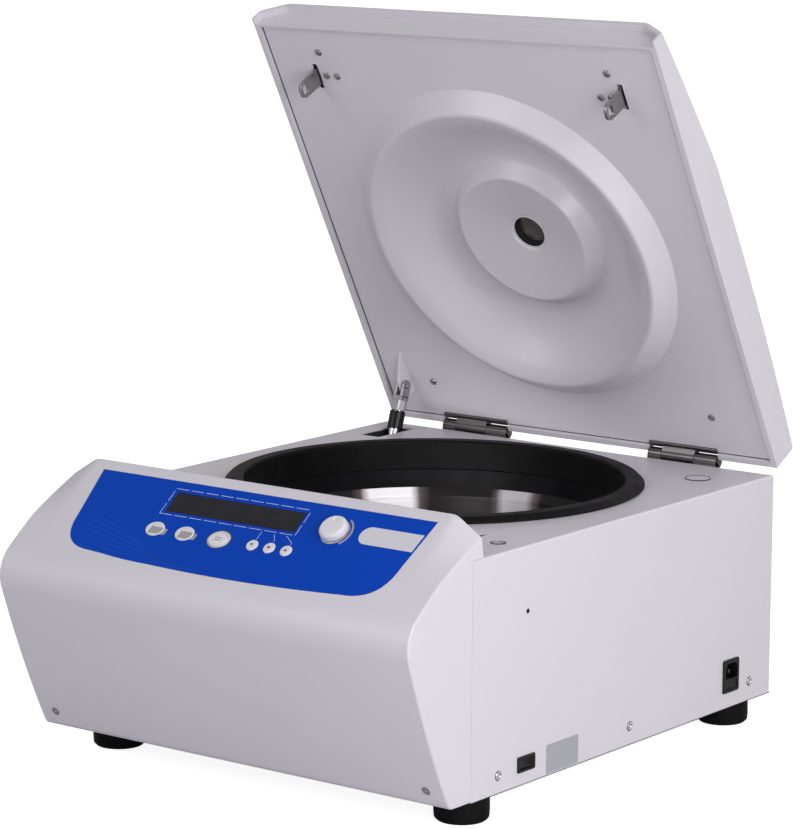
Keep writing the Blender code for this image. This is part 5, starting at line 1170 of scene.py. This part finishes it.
def makeLiner(s, l):
    low, steps, centreU = s["low"], s["steps"], l["dishU"]
    outerX, y0, y1 = s["half"], -s["front"], -s["rear"]
    dish = softLine(s["rim"], 6, closed=False) + smoothThrough(s["dish"])
    dish += softLine(s["disc"], 6, closed=False)
    # The sheet's straight edge meets the rim's circle along rays from the dish's centre
    edge = []
    for x, y in ovalLine(0, 0, s["rim"][0][0], s["rim"][0][0], steps):
        reaches = [outerX / abs(x)] if abs(x) > 0.01 else []
        if abs(y) > 0.01:
            reaches.append(((y1 + centreU) if y > 0 else (-y0 - centreU)) / abs(y))
        edge.append([x * min(reaches), y * min(reaches) - centreU])
    for corner in ((-outerX, y0), (-outerX, y1), (outerX, y0), (outerX, y1)):
        nearest = min(edge, key=lambda point: hypot(point[0] - corner[0], point[1] - corner[1]))
        nearest[:] = corner
    under = [[(x, y, low + 4) for x, y in edge], [(x, y, low + 1) for x, y in edge],
             [(x * 0.9975, y * 0.999 - 0.25, low) for x, y in edge]]
    for radius, depth in dish:
        under.append([(x, y - centreU, low + depth) for x, y in ovalLine(0, 0, radius, radius, steps)])
    over = [[(x, y, z + s["sheet"]) for x, y, z in ring] for ring in under[:1:-1]]
    over.append([(x * 0.994, y * 0.996 - 0.9, low + 4) for x, y in edge])
    slots = []
    for side in (-1, 1):
        slot = aroundLine(side * machine["hookX"], -machine["hookU"], *s["hookHalf"], 1.2)
        slots.append(slabShape(slot, low - 4, low + 12))
    piece("lidLiner", loftShape(under + over, closed=True), "whitePaint", "lid", ("lid_liner",),
          lidPlace, [slots], sharp=60)
    # A strip of painted shadow runs along the seam between the liner and the lid's folded lip
    edgeX, front, back = s["seam"][0], y0 + 0.4, -s["seam"][1]
    seamShadows = [blockShape((x0, start, low - 0.06), (x1, back, low + 0.05)) for x0, x1, start in (
        (-edgeX, 1.1 - edgeX, front), (edgeX - 1.1, edgeX, front), (1.2 - edgeX, edgeX - 1.2, back - 0.9))]
    piece("linerSeam", together(*seamShadows), "darkGap", "lid", (), lidPlace)
    for index, (x, u) in enumerate(s["screws"]):
        at = lidPlace @ place(x, -u, low - 0.1, 180, 30 * index)
        screw("linerScrew%d" % index, at, 3.7, 2, "steel", "lid")


makeLiner(linerSet, lidSet)
print("liner made")

glassSet = {"seat": 17.2, "wall": 1.4, "low": 27.2, "flange": 19.8, "flangeHigh": 1.6, "drop": 1}


def makeSightGlass(s, l):
    at = lidPlace @ place(0, -l["dishU"], 0)
    top = lidTop(l, l["dishU"], 0) - s["drop"]
    seat, inner, low, under = s["seat"], s["seat"] - s["wall"], s["low"], s["low"] - s["flangeHigh"]
    rim = [(seat - 0.6, low), (seat - 0.6, under, 0.8), (s["flange"], under + 0.7, 0.8),
           (s["flange"], low, 0.2)]
    pane = [(0, top - 3.6), (inner - 0.1, top - 3.6, 0.4), (inner - 0.1, top, 0.6), (0, top)]
    piece("sightRim", turnShape(softLine(rim, 4), 72), "whiteMoulding", "lid", (), at)
    # The near-black tube is painted shade lining the sight hole
    piece("sightTube", tubeShape(inner, seat, low - 0.9, top - 1.6, 0.3, 72), "darkGap", "lid", (), at)
    piece("sightRing", tubeShape(inner - 1.5, inner - 0.05, top - 6.4, top - 3.8, 0.5, 64), "steel", "lid",
          (), at)
    piece("sightGlass", turnShape(softLine(pane, 3), 64), "smokedGlass", "lid", ("sight_glass",), at)


makeSightGlass(glassSet, lidSet)

hookSet = {"root": 8.8, "tip": 8, "sheet": 3, "reach": -26.5, "hole": (5.5, 3.8, -19.5), "top": 8.6,
           "flange": (32, 22, 5.6)}


def makeHooks(s):
    u, root, tip, reach, top = machine["hookU"], s["root"], s["tip"], s["reach"], s["top"]
    long, high, z = s["hole"]
    flangeWide, flangeHalf, flangeLow = s["flange"]
    for side, word in sides:
        x = side * machine["hookX"]
        line = softLine([(-u - root, top), (-u - root, 0, 4), (-u - tip, reach, 6.6), (-u + tip, reach, 6.6),
                         (-u + root, 0, 4), (-u + root, top)], 7)
        cutter = sideSlab(aroundLine(-u, z, long, high, high - 0.1), x - 4, x + 4)
        hook = sideSlab(line, x - s["sheet"] / 2, x + s["sheet"] / 2, 0.5, 0.5)
        piece("latchHook_" + word, hook, "steel", "lid", ("latch_hook_" + word,), lidPlace, [[cutter]])
        flange = aroundLine(x - side * flangeWide / 2, -u, flangeWide / 2, flangeHalf, 3)
        piece("hookFlange_" + word, slabShape(flange, flangeLow, top, 0.4, 0.4), "steel", "lid", (), lidPlace)


makeHooks(hookSet)
print("sight glass and hooks made")

hingeSet = {"half": 38.5, "barrel": 6.5, "shares": (0.203, 0.678), "plateLow": 211.2, "plateFace": 269.8,
            "leafIn": 32, "leafLow": 5.6, "leafHigh": 8.6, "pin": 3,
            "screws": ((-26, 222), (0, 222), (26, 222))}


def makeHinges(s):
    axisY, axisZ, r, face = machine["hingeY"], machine["hingeZ"], s["barrel"], s["plateFace"]
    leafIn, leafLow, leafHigh, plateTop = s["leafIn"], s["leafLow"], s["leafHigh"], machine["topZ"] - 0.5
    web = softLine([(axisY - r, axisZ), (axisY - r, plateTop - 6), (face, plateTop - 6),
                    (face + 0.5, plateTop - 3), (axisY + 1, axisZ - r + 0.4), (axisY, axisZ)], 3)
    neck = softLine([(-r + 0.6, -2.5), (-r - 6, leafLow), (-leafIn, leafLow), (-leafIn, leafHigh),
                     (-r - 3, leafHigh), (0, r - 0.3), (0, 0)], 3)
    for side, word in sides:
        middle = side * machine["hingeX"]
        left, right = middle - s["half"], middle + s["half"]
        low, high = (left + 2 * s["half"] * share for share in s["shares"])
        plate = boxLine((left, s["plateLow"]), (right, plateTop), 2.5)
        fixed = [layAlong(slabShape(plate, machine["rearY"] + 0.3, face, 0.5), "y")]
        for start, end in ((left, low - 0.3), (high + 0.3, right)):
            fixed += [layAlong(rodShape(r, start, end, 0.5, 48, (axisY, axisZ))), sideSlab(web, start, end)]
        fixed.append(layAlong(rodShape(s["pin"], left - 1, right + 1, 0.6, 32, (axisY, axisZ))))
        piece("hingeCase_" + word, together(*fixed), "hingeSteel", "frame", ("hinge_leaf_case_" + word,))
        for index, (x, z) in enumerate(s["screws"]):
            at = place(middle + x, face - 0.1, z, -90)
            screw("hingeScrew%d_%s" % (index, word), at, 3.2, 1.4, "steel", "frame")
        leaf = slabShape(boxLine((left, -leafIn), (right, -r - 4), 2), leafLow, leafHigh, 0.4, 0.4)
        edge = sideSlab(boxLine((-13, 1.6), (-7.3, 8.6), 1.2), left + 0.2, right - 0.2, 0.3, 0.3)
        moving = together(layAlong(rodShape(r, low, high, 0.5, 48)), sideSlab(neck, low, high), leaf, edge)
        piece("hingeLid_" + word, moving, "hingeSteel", "lid", ("hinge_leaf_lid_" + word,), lidPlace)


makeHinges(hingeSet)

strutSet = {
    "eye": 7, "eyeHalf": 3, "tube": 7.5, "tubeLow": 12, "tubeTop": 128, "rod": 5.3, "neck": 4,
    # distances down from the upper pivot: (radius, low, top)
    "nut": (7.8, 25.6, 14.5), "sleeve": (7.8, 44, 25.9), "forkHalf": 6, "forkSlot": 2.4,
    "tine": 3, "pin": 2.5, "webHalf": 1.5, "webU": (36, 57.2, 86), "slot": (46.6, -7.6, 7.2, 3.8),
    "flangeWide": 26, "flange": (5.6, 8.6), "bootDeep": 26,
}


def makeStrut(s):
    def onStrut(name, shape, finish, body, hides, bevel=0):
        piece(name, shape, finish, body, (hides,), strutPlace, bevel=bevel)

    long, rod, top, tube = machine["strutLength"], s["rod"], s["tubeTop"], s["tube"]
    hub = layAlong(rodShape(s["eye"], -s["eyeHalf"], s["eyeHalf"], 0.5, 40))
    body = softLine([(0, s["tubeLow"]), (tube, s["tubeLow"], 2), (tube, top, 1.2), (rod + 1.2, top, 0.5),
                     (rod + 1, top - 2), (0, top - 2)], 4)
    cylinder = together(hub, rodShape(s["neck"], s["neck"], s["tubeLow"] + 1), turnShape(body, 56))
    onStrut("strutCylinder", cylinder, "blackPlastic", "strut_lower", "strut_cylinder")
    nutR, nutLow, nutTop = s["nut"][0], long - s["nut"][1], long - s["nut"][2]
    line = softLine([(0, top - 60), (rod, top - 60, 0.5), (rod, nutTop + 1), (0, nutTop + 1)], 3)
    onStrut("strutRod", turnShape(line, 40), "chrome", "strut_upper", "strut_rod")
    sleeveR, sleeveLow, sleeveTop = s["sleeve"]
    sleeve = tubeShape(rod + 0.05, sleeveR, long - sleeveLow, long - sleeveTop - 0.1, 0.8)
    onStrut("strutSleeve", sleeve, "blackPlastic", "strut_upper", "strut_sleeve")
    half, slot, outer = s["forkHalf"], s["forkSlot"], s["forkSlot"] + s["tine"]
    line = softLine([(-half, nutTop + 2.6), (half, nutTop + 2.6), (half, long + half, 5.6),
                     (-half, long + half, 5.6)], 8)
    fork = [slabShape(hexLine(nutR, 0.8), nutLow, nutTop, 0.6, 0.6),
            blockShape((-outer, -half, nutTop - 0.2), (outer, half, nutTop + 4.2)),
            layAlong(rodShape(s["pin"], -7, 7, 0.5, 28, (0, long)))]
    fork += [sideSlab(line, near, near + s["tine"], 0.4, 0.4) for near in (-outer, slot)]
    onStrut("strutFork", together(*fork), "strutSteel", "strut_upper", "strut_fork", 0.25)

    # A box of painted shadow hangs under the slot that the strut comes through
    (x0, y0), (x1, y1) = caseSet["strutSlot"]
    plate, deep = machine["topZ"] - 1.6, s["bootDeep"]
    slotShadow = slabShape(boxLine((x0 - 1.5, y0 - 1.5), (x1 + 1.5, y1 + 1.5), 2.5), plate - deep, plate)
    inside = slabShape(boxLine((x0 - 0.4, y0 - 0.4), (x1 + 0.4, y1 + 0.4), 1.6), plate - deep - 4, plate + 4)
    piece("strutBoot", slotShadow, "darkGap", "frame", cuts=[[inside]])

    x, half, (near, bend, far) = machine["strutX"], s["webHalf"], s["webU"]
    flangeLow, flangeTop = s["flange"]
    u, w, wide, radius = s["slot"]
    low = w - 6
    web = softLine([(-near, flangeTop), (-near, low, 6), (-bend, low, 8), (-far, flangeLow, 6),
                    (-far, flangeTop)], 6)
    corners = aroundLine(-u, w, wide, radius)
    cutter = sideSlab(softLine([(*point, radius - 0.1) for point in corners], 7), x - 5, x + 5)
    piece("strutWeb", sideSlab(web, x - half, x + half, 0.35, 0.35), "whitePaint", "lid",
          ("strut_bracket",), lidPlace, [[cutter]])
    flange = boxLine((x - s["flangeWide"], -far), (x - half, -near), 2.5)
    piece("strutFlange", slabShape(flange, flangeLow, flangeTop, 0.4, 0.4), "zincSheet", "lid", (), lidPlace)


makeStrut(strutSet)
print("hinges and strut made")

sideSet = {
    "bezelProud": 1.6, "bezelHalf": (12.8, 7.1), "rockerHalf": (9.1, 4.3), "room": (10.7, 4.7),
    "inletProud": 1.8, "inletHalf": (13.3, 15.9), "boxHalf": (11.2, 13.6),
    "drawer": ((-10.2, -12.9), (10.2, -4.3)),
    "socket": ((-10, -2.5, 1.2), (10, -2.5, 1.2), (10, 8, 3), (6.5, 12, 2), (-6.5, 12, 2), (-10, 8, 3)),
    "pins": ((-5, 2), (5, 2), (0, 7)),
}


def makeRocker(s, c):
    at = place(machine["caseHalf"], *c["rockerHole"][:2])
    ra, rb = s["rockerHalf"]
    room = aroundLine(0, 0, *s["room"], 0.8)
    piece("rockerFrame", sideSlab(aroundLine(0, 0, *s["bezelHalf"], 1.6), 0.1, s["bezelProud"], 0.6),
          "blackPlastic", "frame", ("rocker_bezel",), at, [[sideSlab(room, -6, 6)]])
    room = aroundLine(0, 0, *s["room"], 0.6)
    piece("rockerBox", sideSlab(aroundLine(0, 0, 11, 5.4, 0.8), -16, 0.3), "blackPlastic", "frame", (), at,
          [[sideSlab(room, -14, 6)]])
    # The button's face is one shallow curve, standing out further at one end than the other
    line = [(-ra, -2.6), (ra, -2.6), (ra, 2.9)] + between((ra, 2.9), (0, -1.3), (-ra, 0.3), 12)
    rocker = slabShape(line, -rb, rb, 0.3, 0.3)
    rocker.transform(Matrix(((0, 1, 0, 0), (1, 0, 0, 0), (0, 0, 1, 0), (0, 0, 0, 1))))
    bmesh.ops.reverse_faces(rocker, faces=rocker.faces[:])
    piece("powerRocker", rocker, "blackPlastic", "power_rocker", ("power_rocker",), at, sharp=28)


def makeInlet(s, c):
    at = place(machine["caseHalf"], *c["inletHole"][:2])
    lines = (softLine(s["socket"], 4), boxLine(*s["drawer"], 0.8))
    piece("inletFrame", sideSlab(aroundLine(0, 0, *s["inletHalf"], 2.2), 0.1, s["inletProud"], 0.7),
          "blackPlastic", "frame", ("mains_inlet",), at, [[sideSlab(line, -4, 5) for line in lines]])
    piece("inletBox", sideSlab(aroundLine(0, 0, *s["boxHalf"], 1), -22, 0.3), "blackPlastic", "frame", (), at,
          [[sideSlab(line, -17, 5) for line in lines]])
    pins = [sideSlab(aroundLine(y, z, 1, 2, 0.5), -18, -4, 0.5) for y, z in s["pins"]]
    piece("inletPins", together(*pins), "steel", "frame", (), at)
    drawer = together(sideSlab(boxLine((-9.9, -12.6), (9.9, -4.6), 0.7), -12, 1.2, 0.4),
                      sideSlab(boxLine((-3, -12.2), (3, -10.6), 0.6), 1, 1.75, 0.2))
    piece("fuseDrawer", drawer, "blackPlastic", "fuse_drawer", ("fuse_drawer",), at)


makeRocker(sideSet, caseSet)
makeInlet(sideSet, caseSet)

smallSet = {
    "sideScrews": ((-175.5, 42.3), (26.1, 43.7), (227.9, 44.9)), "plateScrew": (204, -142.5),
    "label": ((-104.5, 28), (-55.5, 54)), "sidePlug": (-134.1, 179), "plugHead": 12,
}


def makeSmallParts(s, c):
    half, top, head = machine["caseHalf"], machine["topZ"], s["plugHead"]
    for side, word in sides:
        for index, (y, z) in enumerate(s["sideScrews"]):
            at = place(side * (half - 0.1), y, z) @ Matrix.Rotation(side * pi / 2, 4, "Y")
            name = "%d%s" % (index, word.title())
            screw("sideScrew" + name, at, 4, 1.7, "chrome", "frame")
            # A thin ring of painted shadow stands round each side screw's head
            piece("sideScrewSeat" + name, tubeShape(3.7, 4.6, 0.11, 0.2, 0, 40), "darkGap", "frame", (), at)
    screw("plateScrew", place(*s["plateScrew"], top - 0.1), 6, 1.5, "chrome", "frame")
    # Thin rings of painted shadow stand round the plate screw's head and the hole plug's head
    for name, spot, inner, outer, high, steps in (
            ("plateScrewSeat", s["plateScrew"], 5.9, 6.9, 0.5, 48),
            ("holePlugEdge", c["plugPlace"], head - 0.3, head + 0.15, 0.82, 64)):
        piece(name, tubeShape(inner, outer, 0.02, high, 0, steps), "darkGap", "frame", (), place(*spot, top))
    piece("bareLabel", sideSlab(boxLine(*s["label"], 1.2), 0.02, 0.22, 0.05), "labelSilver", "frame", (),
          place(half, 0, 0))
    dot = softLine([(0, 0.02), (2.2, 0.02), (1.8, 0.5, 0.3), (0, 0.7)], 3)
    piece("sidePlug", turnShape(dot, 24), "darkMoulding", "frame", (),
          place(half, *s["sidePlug"]) @ Matrix.Rotation(pi / 2, 4, "Y"))
    plug = softLine([(0, -6), (9.4, -6, 0.8), (10.3, -2), (10.3, 0.1), (head, 0.1), (head - 0.2, 0.5, 0.3),
                     (head - 2.6, 0.85, 0.6), (0, 0.6)], 4)
    piece("holePlug", turnShape(plug, 56), "whiteMoulding", "frame", ("hole_plug",),
          place(*c["plugPlace"], top), sharp=50)


makeSmallParts(smallSet, caseSet)
print("rocker, inlet and small parts made")

floorSet = {"half": 14000, "z": -0.4, "tone": (0.66, 0.66, 0.67), "fade": 0.985, "glow": 0.88,
            "roughness": 0.85, "specular": 0.2}


def makeFloor(s):
    shape = bmesh.new()
    shape.faces.new([shape.verts.new((*point, s["z"])) for point in aroundLine(0, 0, s["half"], s["half"])])
    floor = meshObject("paleFloor", shape)
    material = bpy.data.materials.new("paleFloor")
    material.use_nodes = True
    tree = material.node_tree
    tree.nodes.clear()
    mottle = addNode(tree, "TexNoise", {"Scale": 6}).outputs["Fac"]
    tone = blend(tree, mottle, (*s["tone"], 1), (*(value * s["fade"] for value in s["tone"]), 1))
    feeds = {"Base Color": tone, "Roughness": s["roughness"], "Specular IOR Level": s["specular"]}
    shader = addNode(tree, "BsdfPrincipled", feeds).outputs["BSDF"]
    # The camera sees a lift of plain light on the floor, which the object isn't lit by
    glow = addNode(tree, "Emission", {"Strength": s["glow"]}).outputs[0]
    lifted = addNode(tree, "AddShader", {0: shader, 1: glow}).outputs[0]
    seen = addNode(tree, "LightPath").outputs["Is Camera Ray"]
    mixed = addNode(tree, "MixShader", {0: seen, 1: shader, 2: lifted}).outputs[0]
    addNode(tree, "OutputMaterial", {"Surface": mixed})
    floor.data.materials.append(material)


makeFloor(floorSet)
